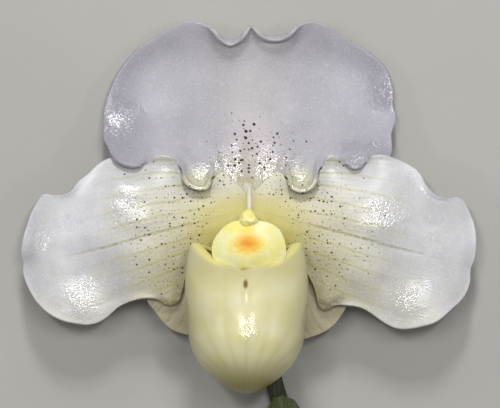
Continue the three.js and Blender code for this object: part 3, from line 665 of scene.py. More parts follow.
def bract_place(across, along):
    """The sheath round the foot of the ovary, open underneath and free at its tip."""
    share = lerp(BRACT_ROOT, BRACT_TIP, along)
    at, side, top = stalk_frame(ovary_curve, share)
    lean = math.radians(bract_open(along)) * (2 * across - 1)
    out = bract_loose(along) + 0.10 * math.cos(lean * 9) * smooth(along / 0.3)
    return at + side * (out * math.sin(lean)) + top * (out * math.cos(lean))


def column_post():
    """The column: a turned post that leans towards the pouch."""
    outline = profile(
        (COLUMN_FOOT_Z, 2.6), (16, 2.5), (20, 2.4), (24, 2.0), (28, 2.1), (32, 2.7),
        (COLUMN_TOP_Z, 2.6),
    )

    def place(turn_share, share):
        z = lerp(COLUMN_FOOT_Z, COLUMN_TOP_Z, share)
        turn = 2 * math.pi * turn_share
        radius = outline(z) * (1 + 0.03 * math.cos(5 * turn))
        lean = COLUMN_LEAN * (z - COLUMN_FOOT_Z)
        return Vector((radius * math.cos(turn), radius * math.sin(turn) + lean, z))

    return closed_tube(*COLUMN_GRID, place)


def roughened(bm, height, scale, seed):
    """Moves each point of a closed form out or in a little, for a grainy mass."""
    bm.normal_update()
    for vert in bm.verts:
        amount = noise.noise(vert.co * scale + Vector((seed, seed, seed)))
        vert.co += vert.normal * (height * amount)
    return bm


# Finishes.
def shade(code, alpha=1.0):
    """A colour as Blender holds it, from its usual six digits."""
    parts = [int(code[k:k + 2], 16) / 255 for k in (1, 3, 5)]
    linear = [p / 12.92 if p <= 0.04045 else ((p + 0.055) / 1.055) ** 2.4 for p in parts]
    return (*linear, alpha)


class Finish:
    """Builds one material, its colour in coats. A value may be a socket, a number, a place or a
    colour, and places are in millimetres from the heart."""

    def __init__(self, name, roughness, see_through=0.0, reach=(1.6, 1.3, 0.9), gloss=0.5):
        self.material = bpy.data.materials.new(name)
        self.material.use_nodes = True
        self.nodes = self.material.node_tree.nodes
        self.links = self.material.node_tree.links
        self.skin = self.nodes["Principled BSDF"]
        self.skin.inputs["Roughness"].default_value = roughness
        self.skin.inputs["IOR"].default_value = 1.45
        self.skin.inputs["Specular IOR Level"].default_value = gloss
        if see_through:
            self.skin.inputs["Subsurface Weight"].default_value = see_through
            self.skin.inputs["Subsurface Radius"].default_value = reach
            self.skin.inputs["Subsurface Scale"].default_value = MM
        where = self.node("ShaderNodeTexCoord").outputs["Object"]
        self.place = self.places("MULTIPLY_ADD", where, (1 / MM,) * 3, tuple(-HEART))
        self.colour = None

    def feed(self, socket, value):
        if isinstance(value, bpy.types.NodeSocket):
            self.links.new(value, socket)
        else:
            socket.default_value = value

    def node(self, kind, values=(), **settings):
        made = self.nodes.new(kind)
        for name, value in settings.items():
            setattr(made, name, value)
        for socket, value in zip(made.inputs, values):
            self.feed(socket, value)
        return made

    def maths(self, operation, *values, clamp=False):
        return self.node("ShaderNodeMath", values, operation=operation, use_clamp=clamp).outputs[0]

    def times(self, first, second):
        return self.maths("MULTIPLY", first, second)

    def plus(self, first, second, clamp=False):
        return self.maths("ADD", first, second, clamp=clamp)

    def most(self, first, second):
        return self.maths("MAXIMUM", first, second)

    def absolute(self, value):
        return self.maths("ABSOLUTE", value)

    def places(self, operation, *values):
        return self.node("ShaderNodeVectorMath", values, operation=operation).outputs[0]

    def split(self, place):
        return self.node("ShaderNodeSeparateXYZ", (place,)).outputs

    def ramp(self, value, low, high, from_low=0.0, to_high=1.0):
        """Eases from one value to another while `value` goes from low to high."""
        values = (value, low, high, from_low, to_high)
        return self.node("ShaderNodeMapRange", values, interpolation_type="SMOOTHSTEP").outputs[0]

    def mix(self, share, first, second):
        made = self.node("ShaderNodeMix", data_type="RGBA")
        for socket, value in ((0, share), (6, first), (7, second)):
            self.feed(made.inputs[socket], value)
        return made.outputs[2]

    def tint(self, share, colour, strength=1.0):
        """Lays a colour over the skin's own, by a share of 0 to 1."""
        if strength != 1.0:
            share = self.times(share, strength)
        self.colour = self.mix(share, self.colour, colour)

    def mottle(self, first, second, scale, detail=3.0, low=0.3):
        """The first coat: clouds of two colours."""
        clouds = self.ramp(self.noise(scale, detail), low, 1 - low)
        self.colour = self.mix(clouds, first, second)

    def lines(self):
        """Across and along a blade's lines of growth, the second in millimetres."""
        across, along = self.shares()
        return across, self.maths("DIVIDE", along, LINES_SCALE)

    def shares(self):
        """How far round and how far along a bent grid a place lies, from 0 to 1."""
        where = self.node("ShaderNodeUVMap", uv_map=LINES_MAP).outputs[0]
        around, along, _ = self.split(where)
        return around, along

    def noise(self, scale, detail=2.0, roughness=0.5, place=None):
        made = self.node("ShaderNodeTexNoise", noise_dimensions="3D")
        self.feed(made.inputs["Vector"], self.place if place is None else place)
        for name, value in (("Scale", scale), ("Detail", detail), ("Roughness", roughness)):
            self.feed(made.inputs[name], value)
        return made.outputs[0]

    def centred_noise(self, scale, size):
        return self.times(self.maths("SUBTRACT", self.noise(scale), 0.5), size)

    def stripes(self, across, spacing, width, warp):
        """1 along evenly spaced lines, fading over `width` of half a gap."""
        turns = self.plus(self.maths("DIVIDE", across, spacing), warp)
        gap = self.times(self.maths("PINGPONG", turns, 0.5), 2.0)
        return self.ramp(gap, 0.0, width, 1.0, 0.0)

    def distance(self, x, y):
        return self.maths("SQRT", self.maths("MULTIPLY_ADD", x, x, self.times(y, y)))

    def spot(self, x, y, centre, radii, edge=1.0):
        """1 in the middle of a soft oval, 0 past its radii."""
        dx = self.maths("DIVIDE", self.maths("SUBTRACT", x, centre[0]), radii[0])
        dy = self.maths("DIVIDE", self.maths("SUBTRACT", y, centre[1]), radii[1])
        return self.ramp(self.distance(dx, dy), 1.0 - edge, 1.0, 1.0, 0.0)

    def spots(self, x, y, ovals, edge=1.0):
        """The strongest of several spots, each a centre and its radii."""
        return functools.reduce(self.most, [self.spot(x, y, *oval, edge) for oval in ovals])

    def freckles(self, place, chance, small, large, faint):
        """Round dots at random places, about one for each unit cell that `chance` lets through.
        Most are small; the smallest are `faint`."""
        cell = self.node("ShaderNodeTexVoronoi", voronoi_dimensions="2D", feature="F1")
        self.feed(cell.inputs["Vector"], place)
        self.feed(cell.inputs["Scale"], 1.0)
        draw = self.node("ShaderNodeSeparateColor", (cell.outputs["Color"],)).outputs
        size = self.maths("POWER", draw[0], DOT_RARITY)
        radius = self.maths("MULTIPLY_ADD", size, large - small, small)
        inside = self.maths("SUBTRACT", radius, cell.outputs["Distance"])
        inside = self.plus(self.maths("DIVIDE", inside, DOT_SOFTNESS), 0.5, clamp=True)
        inside = self.times(inside, self.maths("MULTIPLY_ADD", size, 1 - faint, faint))
        return self.times(inside, self.maths("LESS_THAN", draw[1], chance))

    def patchy(self, share):
        """Gives a soft patch an uneven edge."""
        return self.ramp(self.plus(share, self.centred_noise(0.35, 1.0)), -0.1, 1.0)

    def frost(self, white, share):
        """Painted highlight: fine pale specks in the colour, standing in for the glints of swollen
        cells.
        """
        self.tint(self.ramp(self.noise(1.7, 2.0, 0.7), 0.5, 0.72, 0.0, share), white)

    def glitter(self, size):
        """The fine swollen cells that make a wet-looking skin sparkle, 0 to 1."""
        return self.plus(self.noise(1 / size, 1.0, 0.6), self.noise(0.35 / size, 2.0, 0.6))

    def grain(self, height, depth):
        """Bumps the surface by a height of 0 to 1 over `depth` millimetres."""
        made = self.node("ShaderNodeBump")
        made.inputs["Strength"].default_value = 1.0
        made.inputs["Distance"].default_value = depth * MM
        self.feed(made.inputs["Height"], height)
        self.links.new(made.outputs[0], self.skin.inputs["Normal"])

    def stain(self, dots, colour, roughness):
        """Dark dots: no light spreads under them, and they shine little. Gives the roughness."""
        weight = self.skin.inputs["Subsurface Weight"]
        self.feed(weight, self.ramp(dots, 0.0, 0.6, weight.default_value, 0.0))
        self.tint(dots, colour)
        return self.most(roughness, dots)

    def finish(self, roughness=None):
        self.feed(self.skin.inputs["Base Color"], self.colour)
        if roughness is not None:
            self.feed(self.skin.inputs["Roughness"], roughness)
        return self.material


# Soft patches on the skins: the middle and the radii of each, in mm. The glint patches are where
# highlight is painted into the colour as pale specks.
SEPAL_WET = (((-31, 26), (11, 13)), ((34, 34), (9, 9)), ((29, 18.5), (11, 7)))
SEPAL_GLINTS = (
    ((34.5, 35.0), (5.0, 5.5)), ((26.5, 17.0), (6.0, 3.2)), ((-32.5, 27.0), (6.0, 6.0)),
    ((-34.5, 34.0), (3.0, 3.5)),
)
PETAL_WET = (
    ((-30.5, 6.5), (11, 10)), ((33.5, 4.5), (13, 10)), ((-40.0, -15.5), (9, 10)),
    ((38.0, -17.0), (9, 9)), ((-20.6, 17.5), (6, 5)), ((20.6, 17.5), (6, 5)),
)
PETAL_GLINTS = (
    ((-39.5, -15.5), (5.5, 6.0)), ((37.5, -17.5), (5.5, 5.0)), ((-45.0, 2.0), (5.0, 6.0)),
    ((45.0, -2.0), (4.0, 7.0)),
)
SHIELD_GLOW = (((-0.3, -2.7), (5.8, 4.4), 0.8), ((-0.2, 0.8), (3.4, 2.8), 1.0))

DOT_RARITY = 2.8  # how much rarer large dots are than small ones
DOT_SOFTNESS = 0.12  # of a dot's edge, in mm
SECOND_DOTS = {"scale": 0.47, "shift": (31.3, 17.9, 0.0)}  # where the large dots are drawn
GLITTER_SIZE = 0.42  # of the swollen cells, in mm


def dorsal_finish(colours):
    made = Finish("Dorsal sepal skin", 0.2, see_through=0.15, gloss=0.9)
    x, y, _ = made.split(made.place)
    aside = made.absolute(x)
    across, along = made.lines()
    beside = made.absolute(across)
    made.mottle(colours.sepal, colours.sepal_shade, 0.09, low=0.35)
    # Painted shade, partly the sepal's own grey-lilac tone: darker towards the sides.
    made.tint(made.ramp(aside, 18.0, 34.0, 0.0, 0.8), colours.sepal_rim)
    middle = made.ramp(beside, 0.05, 0.34, 0.5, 0.0)
    made.tint(made.times(middle, made.ramp(along, 30.0, 60.0, 1.0, 0.3)), colours.sepal_cream)
    claw = made.ramp(along, 14.0, 27.0, 1.0, 0.0)
    claw = made.times(claw, made.ramp(beside, 0.2, 0.7, 1.0, 0.4))
    made.tint(claw, colours.sepal_base, 0.65)
    scroll = made.spot(aside, y, (12.4, 11.6), (6.0, 5.4), edge=0.7)
    made.tint(scroll, colours.scroll, 0.7)
    made.tint(made.spot(x, y, (1.4, 21.5), (10, 11)), colours.blush, 0.38)
    made.tint(made.spot(x, y, (0.2, 17.5), (4.0, 9.0), edge=0.8), colours.dusk, 0.4)
    veins = made.stripes(across, 0.075, 0.5, made.centred_noise(0.18, 0.7))
    made.tint(made.times(veins, made.ramp(along, 18.0, 46.0, 0.2, 0.03)), colours.sepal_vein)
    clouds = made.ramp(made.noise(0.55), 0.5, 0.62)
    made.tint(made.times(clouds, made.ramp(along, 16.0, 27.0, 0.5, 0.0)), colours.vein)
    midrib = made.absolute(made.maths("MULTIPLY_ADD", y, -MIDRIB_LEAN, x))
    midrib = made.ramp(midrib, 0.1, 0.7, 1.0, 0.0)
    midrib = made.times(midrib, made.ramp(along, 26.0, 46.0, 0.28, 0.08))
    made.tint(midrib, colours.sepal_vein)
    near = made.times(made.ramp(along, 14.0, 19.0), made.ramp(along, 23.0, 35.0, 1.0, 0.0))
    chance = made.times(made.ramp(beside, 0.04, 0.6, 0.6, 0.0), near)
    chance = made.most(chance, made.times(scroll, 0.5))
    small = made.freckles(made.place, chance, 0.10, 0.26, faint=0.8)
    elsewhere = made.places(
        "MULTIPLY_ADD", made.place, (SECOND_DOTS["scale"],) * 3, SECOND_DOTS["shift"]
    )
    chance = made.times(made.ramp(beside, 0.12, 0.36, 0.9, 0.0), near)
    large = made.freckles(elsewhere, chance, 0.13, 0.2, faint=1.0)
    wet = made.ramp(along, 18.0, 30.0, 1.0, 0.0)
    wet = made.times(wet, made.ramp(aside, 0.8, 2.6, 0.3, 1.0))
    wet = made.patchy(made.most(wet, made.spots(x, y, SEPAL_WET)))
    # Painted highlight: pale specks all over, thickest in the glint spots.
    glints = made.spots(x, y, SEPAL_GLINTS, edge=0.9)
    made.frost(colours.frost, made.maths("MULTIPLY_ADD", glints, 0.9, 0.2))
    made.grain(made.times(made.glitter(GLITTER_SIZE), made.ramp(wet, 0.0, 1.0, 0.55, 1.0)), 0.08)
    roughness = made.ramp(wet, 0.0, 1.0, 0.5, 0.13)
    return made.finish(made.stain(made.most(small, large), colours.spots, roughness))


def petal_finish(colours):
    made = Finish("Petal skin", 0.18, see_through=0.15, gloss=0.9)
    x, y, _ = made.split(made.place)
    aside = made.absolute(x)
    across, along = made.lines()
    beside = made.absolute(across)
    made.mottle(colours.petal, colours.petal_shade, 0.1, low=0.35)
    cream = made.ramp(along, 16.0, 44.0, 0.85, 0.0)
    cream = made.times(cream, made.ramp(y, 4.0, 15.0, 1.0, 0.25))
    low = made.ramp(across, -0.9, 0.3, 0.35, 0.0)
    made.tint(made.plus(cream, low, clamp=True), colours.petal_cream)
    heart = made.distance(made.times(x, 0.6), made.plus(y, -1.0))
    made.tint(made.ramp(heart, 4.5, 12.5, 1.0, 0.0), colours.petal_base)
    # Painted shade: a dark olive band along the lower inner margin where it rolls back, and
    # darkening beside the pouch for its shadow.
    off = made.absolute(made.plus(aside, -19.2))
    edge = made.plus(y, made.maths("MULTIPLY_ADD", off, -0.45, 18.0))
    under = made.times(made.ramp(edge, 0.0, 2.4, 0.9, 0.0), made.ramp(off, 1.5, 5.0, 1.0, 0.0))
    pouch_shadow = made.ramp(aside, 15.0, 20.5, 0.7, 0.0)
    pouch_shadow = made.times(pouch_shadow, made.ramp(y, -16.0, -7.0, 1.0, 0.0))
    made.tint(made.most(under, pouch_shadow), colours.petal_fold)
    veins = made.stripes(across, 0.2, 0.34, made.centred_noise(0.12, 0.45))
    fine = made.stripes(across, 0.0667, 0.6, made.centred_noise(0.3, 0.9))
    fade = made.ramp(along, 18.0, 42.0, 0.6, 0.04)
    fade = made.times(fade, made.ramp(along, 8.0, 20.0, 0.15, 1.0))
    made.tint(made.times(veins, fade), colours.petal_vein)
    made.tint(made.times(fine, fade), colours.petal_vein, 0.4)
    wavy = made.absolute(made.plus(across, made.centred_noise(0.25, 0.05)))
    main = made.ramp(wavy, 0.004, 0.03, 1.0, 0.0)
    main = made.times(main, made.ramp(along, 28.0, 50.0, 0.75, 0.0))
    main = made.times(main, made.ramp(along, 9.0, 20.0, 0.2, 1.0))
    main = made.times(main, made.ramp(made.noise(0.7), 0.35, 0.6, 0.5, 1.0))
    made.tint(main, colours.main_vein)
    near = made.times(made.ramp(along, 8.0, 12.0), made.ramp(along, 18.0, 36.0, 1.0, 0.0))
    chance = made.times(near, made.ramp(beside, 0.45, 0.95, 0.6, 0.08))
    flap = made.spot(aside, y, (6.5, 13.0), (8.0, 6.0), edge=0.6)
    chance = made.most(chance, made.times(flap, 0.75))
    flap = made.maths("SUBTRACT", y, made.times(aside, 0.3))
    flap = made.times(made.ramp(flap, 7.0, 12.0, 0.0, 0.6), made.ramp(aside, 9.0, 13.0, 1.0, 0.0))
    made.tint(flap, colours.sepal_base)
    dots = made.freckles(made.place, chance, 0.11, 0.26, faint=0.8)
    wet = made.ramp(made.noise(0.11, 1.0), 0.5, 0.7, 0.0, 0.7)
    wet = made.times(wet, made.ramp(aside, 24.0, 34.0))
    wet = made.patchy(made.most(wet, made.spots(x, y, PETAL_WET)))
    lilac = made.ramp(made.noise(0.14, 3.0), 0.45, 0.7, 0.0, 0.55)
    made.tint(made.times(lilac, made.ramp(along, 22.0, 36.0)), colours.petal_lilac)
    # Painted highlight: pale specks, thicker outwards and in the glint spots.
    glints = made.spots(x, y, PETAL_GLINTS, edge=0.9)
    frost = made.ramp(along, 10.0, 30.0, 0.1, 0.4)
    made.frost(colours.frost, made.maths("MULTIPLY_ADD", glints, 0.6, frost))
    sparkle = made.times(made.glitter(GLITTER_SIZE), made.ramp(wet, 0.0, 1.0, 0.6, 1.0))
    sparkle = made.times(sparkle, made.ramp(y, -14.0, -5.0, 1.4, 1.0))
    made.grain(made.maths("MULTIPLY_ADD", made.times(veins, fade), -0.6, sparkle), 0.075)
    roughness = made.ramp(wet, 0.0, 1.0, 0.46, 0.12)
    return made.finish(made.stain(dots, colours.spots, roughness))


def synsepalum_finish(colours):
    made = Finish("Synsepalum skin", 0.42, see_through=0.2)
    across, along = made.lines()
    veins = made.stripes(across, 0.08, 0.5, made.centred_noise(0.2, 0.8))
    made.mottle(colours.synsepalum, colours.synsepalum_shade, 0.16, detail=2.0)
    made.tint(made.ramp(along, 14.0, 28.0, 0.6, 0.0), colours.petal_base)
    made.tint(veins, colours.vein, 0.16)
    made.grain(made.maths("MULTIPLY_ADD", veins, -0.5, made.noise(1.5)), 0.12)
    return made.finish()


def pouch_finish(colours):
    made = Finish("Pouch skin", 0.24, see_through=0.3, reach=(2.2, 1.8, 0.8), gloss=0.8)
    x, y, z = made.split(made.place)
    _, along = made.shares()
    made.mottle(colours.pouch, colours.pouch_light, 0.13, detail=2.0, low=0.35)
    beside = made.plus(x, -POUCH_MIDDLE_X)
    aside = made.absolute(beside)
    # Painted shade: darker towards the pouch's sides, its toe and its brow below the rim.
    side = made.times(made.ramp(aside, 9.0, 14.5), 0.3)
    toe = made.ramp(y, -38.5, -28.0, 1.15, 0.0)
    brow = made.ramp(y, -15.0, -8.0, 0.0, 0.28)
    made.tint(made.most(side, made.most(toe, brow)), colours.pouch_shade)
    turn = made.maths("DIVIDE", beside, made.ramp(y, -38.0, -20.0, 3.0, 14.0))
    veins = made.stripes(turn, 0.36, 0.6, made.centred_noise(0.12, 0.5))
    veins = made.times(veins, made.ramp(y, -30.0, -12.0, 0.2, 0.05))
    made.tint(veins, colours.pouch_vein)
    lobes = made.ramp(along, POUCH_WALL_SHARE - 0.01, POUCH_WALL_SHARE + 0.02)
    made.tint(made.times(lobes, made.ramp(aside, 4.0, 8.0)), colours.pouch_lobe)
    # Painted shade: a dark brown spot in the small dimple, on the pouch's front.
    dimple = made.spot(x, y, (-0.8, -12.0), (0.8, 1.5), edge=0.7)
    made.tint(made.times(dimple, made.ramp(z, 32.0, 35.0, 0.0, 0.9)), colours.dimple)
    wet = made.spot(x, y, (-0.2, -23.0), (4.2, 7.5))
    height = made.times(made.glitter(0.45), made.ramp(wet, 0.0, 1.0, 0.1, 0.75))
    made.grain(made.maths("MULTIPLY_ADD", veins, -0.4, height), 0.09)
    return made.finish(made.ramp(wet, 0.0, 0.9, 0.32, 0.12))


def shield_finish(colours):
    made = Finish("Staminode skin", 0.42, see_through=0.3, reach=(2.0, 1.6, 0.6))
    x, y, _ = made.split(made.place)
    made.mottle(colours.shield, colours.shield_pale, 0.25, detail=2.0)
    pale = made.spot(made.absolute(made.plus(x, 0.3)), y, (6.0, -1.6), (3.6, 4.0))
    made.tint(pale, colours.shield_pale, 0.4)
    outer, inner = [made.spot(x, y, *oval) for oval in SHIELD_GLOW]
    made.tint(made.most(outer, inner), colours.shield_gold, 0.85)
    top = made.spot(x, y, (-0.1, 3.8), (3.6, 3.0), edge=0.7)
    made.tint(top, colours.shield_gold, 0.25)
    warp = made.centred_noise(1.2, 1.2)
    middle = made.spot(made.plus(x, warp), y, (-0.25, -2.5), (4.6, 3.2), edge=0.85)
    made.tint(middle, colours.shield_spot)
    core = made.spot(x, made.plus(y, warp), (-0.5, -2.4), (2.3, 1.4))
    made.tint(core, colours.shield_core, 0.6)
    made.tint(made.spot(x, y, (-0.9, -9.0), (2.6, 1.3)), colours.main_vein, 0.7)
    made.grain(made.noise(1.0), 0.15)
    return made.finish()


def plain_flesh(name, light, dark, roughness, scale=0.6, depth=0.12):
    """Skin that varies softly between two colours, with a fine grain."""
    made = Finish(name, roughness, see_through=0.15)
    made.mottle(light, dark, scale)
    made.grain(made.noise(3.0, 3.0), depth)
    return made.finish()


def stalk_finish(name, green, tinge, roughness):
    """Stalk skin: streaks along its length over a mottled ground."""
    made = Finish(name, roughness, see_through=0.08)
    stretched = made.places("MULTIPLY", made.place, (2.2, 0.18, 2.2))
    streaks = made.noise(1.0, 3.0, place=stretched)
    clouds = made.ramp(made.noise(0.5, 3.0), 0.3, 0.6, 0.4, 1.0)
    made.colour = made.mix(made.times(made.ramp(streaks, 0.35, 0.7), clouds), green, tinge)
    made.grain(made.plus(streaks, made.noise(3.5)), 0.12)
    return made.finish()


def floor_finish(colours):
    made = Finish("Pale table", 0.75)
    made.mottle(colours.table, colours.table_shade, 0.01)
    made.grain(made.noise(0.8, 3.0), 0.05)
    return made.finish()


# Settings.
def colour_setting(key, code):
    name = key.replace("_", " ").capitalize()
    return bpy.props.FloatVectorProperty(
        name=name, description=f"Colour of the {name.lower()}",
        subtype="COLOR", size=4, min=0, max=1, default=shade(code),
    )


def length_setting(name, description, millimetres):
    return bpy.props.FloatProperty(
        name=name, description=description, unit="LENGTH", precision=5, min=0,
        default=millimetres * MM,
    )


def power_setting(name, watts):
    return bpy.props.FloatProperty(
        name=name, description=f"Power of the {name.lower()}", unit="POWER", min=0, default=watts,
    )


class BloomSizes(bpy.types.PropertyGroup):
    """Sizes a maker may change"""

    blade: length_setting("Blade", "Thickness of the sepals and petals", 0.95)
    pouch_wall: length_setting("Pouch wall", "Thickness of the pouch's wall", 1.1)
    shield: length_setting("Shield", "Thickness of the staminode's plate", 1.5)
    bract: length_setting("Bract", "Thickness of the sheath", 0.7)
    hair: length_setting("Hair", "Length of the hairs on the stalks", 0.8)
    rings: bpy.props.IntProperty(
        name="Rings", description="Rings of faces from a blade's spine to its margin",
        default=34, min=8, max=60,
    )


# Colours as the eye sees them in plain light, save the painted shade and painted highlight colours.
COLOURS = {
    "sepal": "#b5b2bb", "sepal_shade": "#aaa7b0", "sepal_rim": "#a19eaa",
    "sepal_vein": "#aeb09c", "sepal_cream": "#b2afa8", "sepal_base": "#e2dec0",
    "claw": "#e6e2d4", "scroll": "#d9d7b2", "dusk": "#a3918a", "frost": "#ededf2",
    "blush": "#dcc3cf", "petal": "#dddde1", "petal_lilac": "#c3bfcb", "petal_shade": "#cdcecf",
    "petal_cream": "#c8c2a2", "petal_base": "#c6bb62", "petal_fold": "#7d7146",
    "petal_vein": "#b5ad66", "vein": "#a8a063", "main_vein": "#857d40", "spots": "#1c0b12",
    "synsepalum": "#b9b095", "synsepalum_shade": "#aaa187", "pouch": "#ded7a2",
    "pouch_light": "#e2dcb2", "pouch_vein": "#b3ae72", "pouch_lobe": "#ebe08a",
    "dimple": "#6e5220", "pouch_shade": "#8f8746", "shield": "#faee8a",
    "shield_pale": "#faf6c6", "shield_gold": "#f8dc50", "shield_spot": "#f8b42a",
    "shield_core": "#f58a10", "column": "#e6dfa6", "anther": "#d7ac37", "ovary": "#28321a",
    "ovary_tinge": "#4a4d28", "bract": "#46542a", "bract_tinge": "#667042", "scape": "#54402c",
    "scape_tinge": "#6d5a3a", "hair": "#7d7658", "table": "#b9b7b2", "table_shade": "#b3b1ac",
}


class BloomColours(bpy.types.PropertyGroup):
    """Colours of the skins"""

    __annotations__ = {key: colour_setting(key, code) for key, code in COLOURS.items()}


class BloomStage(bpy.types.PropertyGroup):
    """The table, camera and lights"""

    table_side: length_setting("Table", "Side of the table under the bloom", 1600)
    camera_height: length_setting("Camera height", "Height of the camera over the table", 912)
    lens: bpy.props.FloatProperty(
        name="Lens", description="Focal length in millimetres", default=267.4, min=20, max=500,
    )
    front_power: power_setting("Front lights", 2.0)
    side_power: power_setting("Side lights", 0.4)
    upper_power: power_setting("Upper light", 2.6)
    surroundings: bpy.props.FloatProperty(
        name="Surroundings", description="Brightness of the room's soft light",
        default=0.18, min=0, max=5,
    )


# Operators, one for each piece or group of like pieces.
class BLOOM_OT_dorsal_sepal(bpy.types.Operator):
    """Makes the broad upper sepal, with its rolled rim and freckles"""

    bl_idname = "bloom.dorsal_sepal"
    bl_label = "Dorsal sepal"

    def execute(self, context):
        colours = context.scene.bloom_colours
        blade = context.scene.bloom_sizes.blade
        skin = dorsal_finish(colours)
        add_blade("dorsal_sepal_skin", "dorsal_sepal", skin, blade)
        keel = ellipsoid(*CLAW_KEEL)
        for vert in keel.verts:
            vert.co.z -= CLAW_KEEL_FALL * (vert.co.y - 6.5)
        cream = plain_flesh("Claw skin", colours.claw, colours.sepal_base, 0.35)
        add_piece("dorsal_sepal_keel", keel, cream)
        return {"FINISHED"}


class BLOOM_OT_petals(bpy.types.Operator):
    """Makes the two wide waved petals"""

    bl_idname = "bloom.petals"
    bl_label = "Petals"

    def execute(self, context):
        blade = context.scene.bloom_sizes.blade
        skin = petal_finish(context.scene.bloom_colours)
        for node in ("petal_left", "petal_right"):
            add_blade(f"{node}_skin", node, skin, blade)
        return {"FINISHED"}


class BLOOM_OT_synsepalum(bpy.types.Operator):
    """Makes the two lower sepals, grown together behind the pouch"""

    bl_idname = "bloom.synsepalum"
    bl_label = "Synsepalum"

    def execute(self, context):
        blade = context.scene.bloom_sizes.blade
        skin = synsepalum_finish(context.scene.bloom_colours)
        add_blade("synsepalum_skin", "synsepalum", skin, blade)
        return {"FINISHED"}


class BLOOM_OT_pouch(bpy.types.Operator):
    """Makes the hollow pouch with the side lobes that fold into its mouth"""

    bl_idname = "bloom.pouch"
    bl_label = "Pouch"

    def execute(self, context):
        bm = bend_grid(*POUCH_GRID, pouch_wall_place, closed=True)
        bmesh.ops.recalc_face_normals(bm, faces=bm.faces)
        skin = pouch_finish(context.scene.bloom_colours)
        piece = add_piece("pouch_skin", bm, skin, ["pouch"])
        thicken(piece, context.scene.bloom_sizes.pouch_wall)
        return {"FINISHED"}


class BLOOM_OT_staminode(bpy.types.Operator):
    """Makes the shield over the pouch's mouth and the knob above it"""

    bl_idname = "bloom.staminode"
    bl_label = "Staminode"

    def execute(self, context):
        shield = context.scene.bloom_sizes.shield
        skin = shield_finish(context.scene.bloom_colours)
        add_blade("staminode_plate", "staminode", skin, shield)
        knob = ellipsoid(*KNOB)
        for vert in knob.verts:
            vert.co.x *= 1.5 - 0.6 * smooth((vert.co.y - 1.6) / 3.4)
        knob = roughened(knob, 0.45, 1.3, 2.0)
        add_piece("staminode_knob", knob, skin)
        return {"FINISHED"}


class BLOOM_OT_column(bpy.types.Operator):
    """Makes the column, its stigma and the two fertile anthers"""

    bl_idname = "bloom.column"
    bl_label = "Column and anthers"

    def execute(self, context):
        colours = context.scene.bloom_colours
        flesh = plain_flesh("Column flesh", colours.column, colours.petal_base, 0.45)
        pollen = plain_flesh("Pollen mass", colours.anther, colours.shield_gold, 0.6, 1.5, 0.3)
        add_piece("column_post", column_post(), flesh, ["column"])
        stigma = roughened(ellipsoid(*STIGMA), 0.15, 1.4, 5.0)
        add_piece("column_stigma", stigma, flesh)
        (x, y, z), radii = ANTHER
        for side, sign in (("left", -1), ("right", 1)):
            mass = roughened(ellipsoid((x * sign, y, z), radii), 0.12, 1.6, 9.0 + sign)
            add_piece(f"anther_{side}_mass", mass, pollen, [f"anther_{side}"])
        return {"FINISHED"}


class BLOOM_OT_stem(bpy.types.Operator):
    """Makes the ribbed ovary, the bract round its foot and the cut stem, with their hairs"""

    bl_idname = "bloom.stem"
    bl_label = "Ovary, bract and stem"

    def execute(self, context):
        colours = context.scene.bloom_colours
        sizes = context.scene.bloom_sizes
        green = stalk_finish("Ovary skin", colours.ovary, colours.ovary_tinge, 0.5)
        brown = stalk_finish("Stem skin", colours.scape, colours.scape_tinge, 0.55)
        sheath = stalk_finish("Bract skin", colours.bract, colours.bract_tinge, 0.45)
        fluff = plain_flesh("Hair", colours.hair, colours.ovary_tinge, 0.6)
        hair = sizes.hair / MM
        bm = stalk(ovary_curve, ovary_radius, OVARY_GRID, OVARY_RIBS, OVARY_RIB_HEIGHT)
        add_piece("ovary_stalk", bm, green, ["ovary"])
        bm = hairs(ovary_curve, ovary_radius, hair, **OVARY_HAIRS)
        add_piece("ovary_hairs", bm, fluff)
        bm = bend_grid(*BRACT_GRID, bract_place, closed=False)
        bmesh.ops.recalc_face_normals(bm, faces=bm.faces)
        piece = add_piece("bract_sheath", bm, sheath, ["bract"])
        thicken(piece, sizes.bract)
        bm = stalk(scape_curve, scape_radius, SCAPE_GRID)
        add_piece("scape_stalk", bm, brown, ["scape"])
        bm = hairs(scape_curve, scape_radius, hair, **SCAPE_HAIRS)
        add_piece("scape_hairs", bm, fluff)
        return {"FINISHED"}


# Each light: its place from the heart and its two sides, in metres, and its power's setting.
LIGHTS = {
    "left front light": ((-0.15, 0.17, 0.92), (0.055, 0.28), "front_power"),
    "left side light": ((-0.60, 0.05, 0.50), (0.1, 0.1), "side_power"),
    "right front light": ((0.15, 0.17, 0.92), (0.055, 0.28), "front_power"),
    "right side light": ((0.60, 0.05, 0.50), (0.1, 0.1), "side_power"),
    "upper light": ((0, 0.62, 0.58), (0.10, 0.16), "upper_power"),
}
LIT_HEIGHT = 0.02  # of the place over the table that the lights are turned to
CAMERA_OFF = (0.24, 6.78)  # of the camera from the heart, in mm


def add_light(name, place, sides, watts):
    """An area light, turned to the bloom's heart."""
    lamp = bpy.data.lights.new(name, "AREA")
    lamp.shape = "RECTANGLE"
    lamp.size, lamp.size_y = sides
    lamp.energy = watts
    light = bpy.data.objects.new(name, lamp)
    bpy.context.scene.collection.objects.link(light)
    heart = HEART * MM
    light.location = heart + Vector(place)
    aim = Vector((heart.x, heart.y, LIT_HEIGHT))
    light.rotation_euler = (aim - light.location).to_track_quat("-Z", "Y").to_euler()


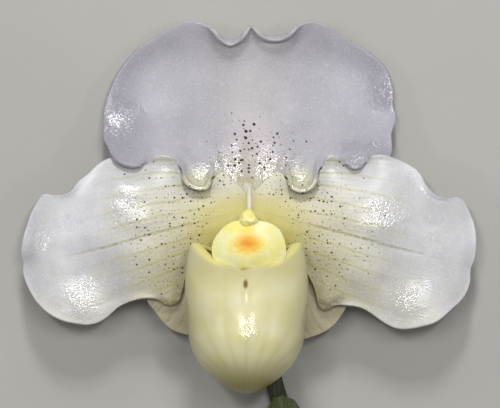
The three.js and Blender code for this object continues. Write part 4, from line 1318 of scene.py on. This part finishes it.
class BLOOM_OT_stage(bpy.types.Operator):
    """Lays the bloom on a pale table under soft lights, with the camera straight above"""

    bl_idname = "bloom.stage"
    bl_label = "Stage"

    def execute(self, context):
        stage = context.scene.bloom_stage
        bm = bmesh.new()
        bmesh.ops.create_grid(bm, x_segments=8, y_segments=8, size=stage.table_side / 2)
        mesh = bpy.data.meshes.new("table")
        bm.to_mesh(mesh)
        bm.free()
        mesh.materials.append(floor_finish(context.scene.bloom_colours))
        table = bpy.data.objects.new("table", mesh)
        context.scene.collection.objects.link(table)

        camera = bpy.data.objects.new("camera", bpy.data.cameras.new("camera"))
        camera.data.lens = stage.lens
        camera.data.clip_end = 10
        x, y = (HEART.xy + Vector(CAMERA_OFF)) * MM
        camera.location = (x, y, stage.camera_height)
        context.scene.collection.objects.link(camera)
        context.scene.camera = camera

        for name, (place, sides, power) in LIGHTS.items():
            add_light(name, place, sides, getattr(stage, power))
        world = bpy.data.worlds.new("room")
        world.use_nodes = True
        background = world.node_tree.nodes["Background"]
        background.inputs["Color"].default_value = (1, 1, 1, 1)
        background.inputs["Strength"].default_value = stage.surroundings
        context.scene.world = world
        context.scene.view_settings.view_transform = "Standard"
        return {"FINISHED"}


class BLOOM_PT_panel(bpy.types.Panel):
    """The bloom's pieces, in the order they are made"""

    bl_idname = "BLOOM_PT_panel"
    bl_label = "Slipper orchid bloom"
    bl_space_type = "VIEW_3D"
    bl_region_type = "UI"
    bl_category = "Bloom"

    def draw(self, context):
        for operator in OPERATORS:
            self.layout.operator(operator.bl_idname)
        for group in ("bloom_sizes", "bloom_colours", "bloom_stage"):
            box = self.layout.box()
            settings = getattr(context.scene, group)
            for name in settings.__annotations__:
                box.prop(settings, name)


GROUPS = {"bloom_sizes": BloomSizes, "bloom_colours": BloomColours, "bloom_stage": BloomStage}
OPERATORS = (
    BLOOM_OT_dorsal_sepal, BLOOM_OT_petals, BLOOM_OT_synsepalum, BLOOM_OT_pouch,
    BLOOM_OT_staminode, BLOOM_OT_column, BLOOM_OT_stem, BLOOM_OT_stage,
)


def register():
    for group in (*GROUPS.values(), *OPERATORS, BLOOM_PT_panel):
        bpy.utils.register_class(group)
    for name, group in GROUPS.items():
        setattr(bpy.types.Scene, name, bpy.props.PointerProperty(type=group))


def unregister():
    for name in GROUPS:
        delattr(bpy.types.Scene, name)
    for group in reversed((*GROUPS.values(), *OPERATORS, BLOOM_PT_panel)):
        bpy.utils.unregister_class(group)


def main():
    register()
    bpy.ops.bloom.dorsal_sepal()
    bpy.ops.bloom.petals()
    bpy.ops.bloom.synsepalum()
    bpy.ops.bloom.pouch()
    bpy.ops.bloom.staminode()
    bpy.ops.bloom.column()
    bpy.ops.bloom.stem()
    bpy.ops.bloom.stage()
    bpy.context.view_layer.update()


if __name__ == "__main__":
    main()
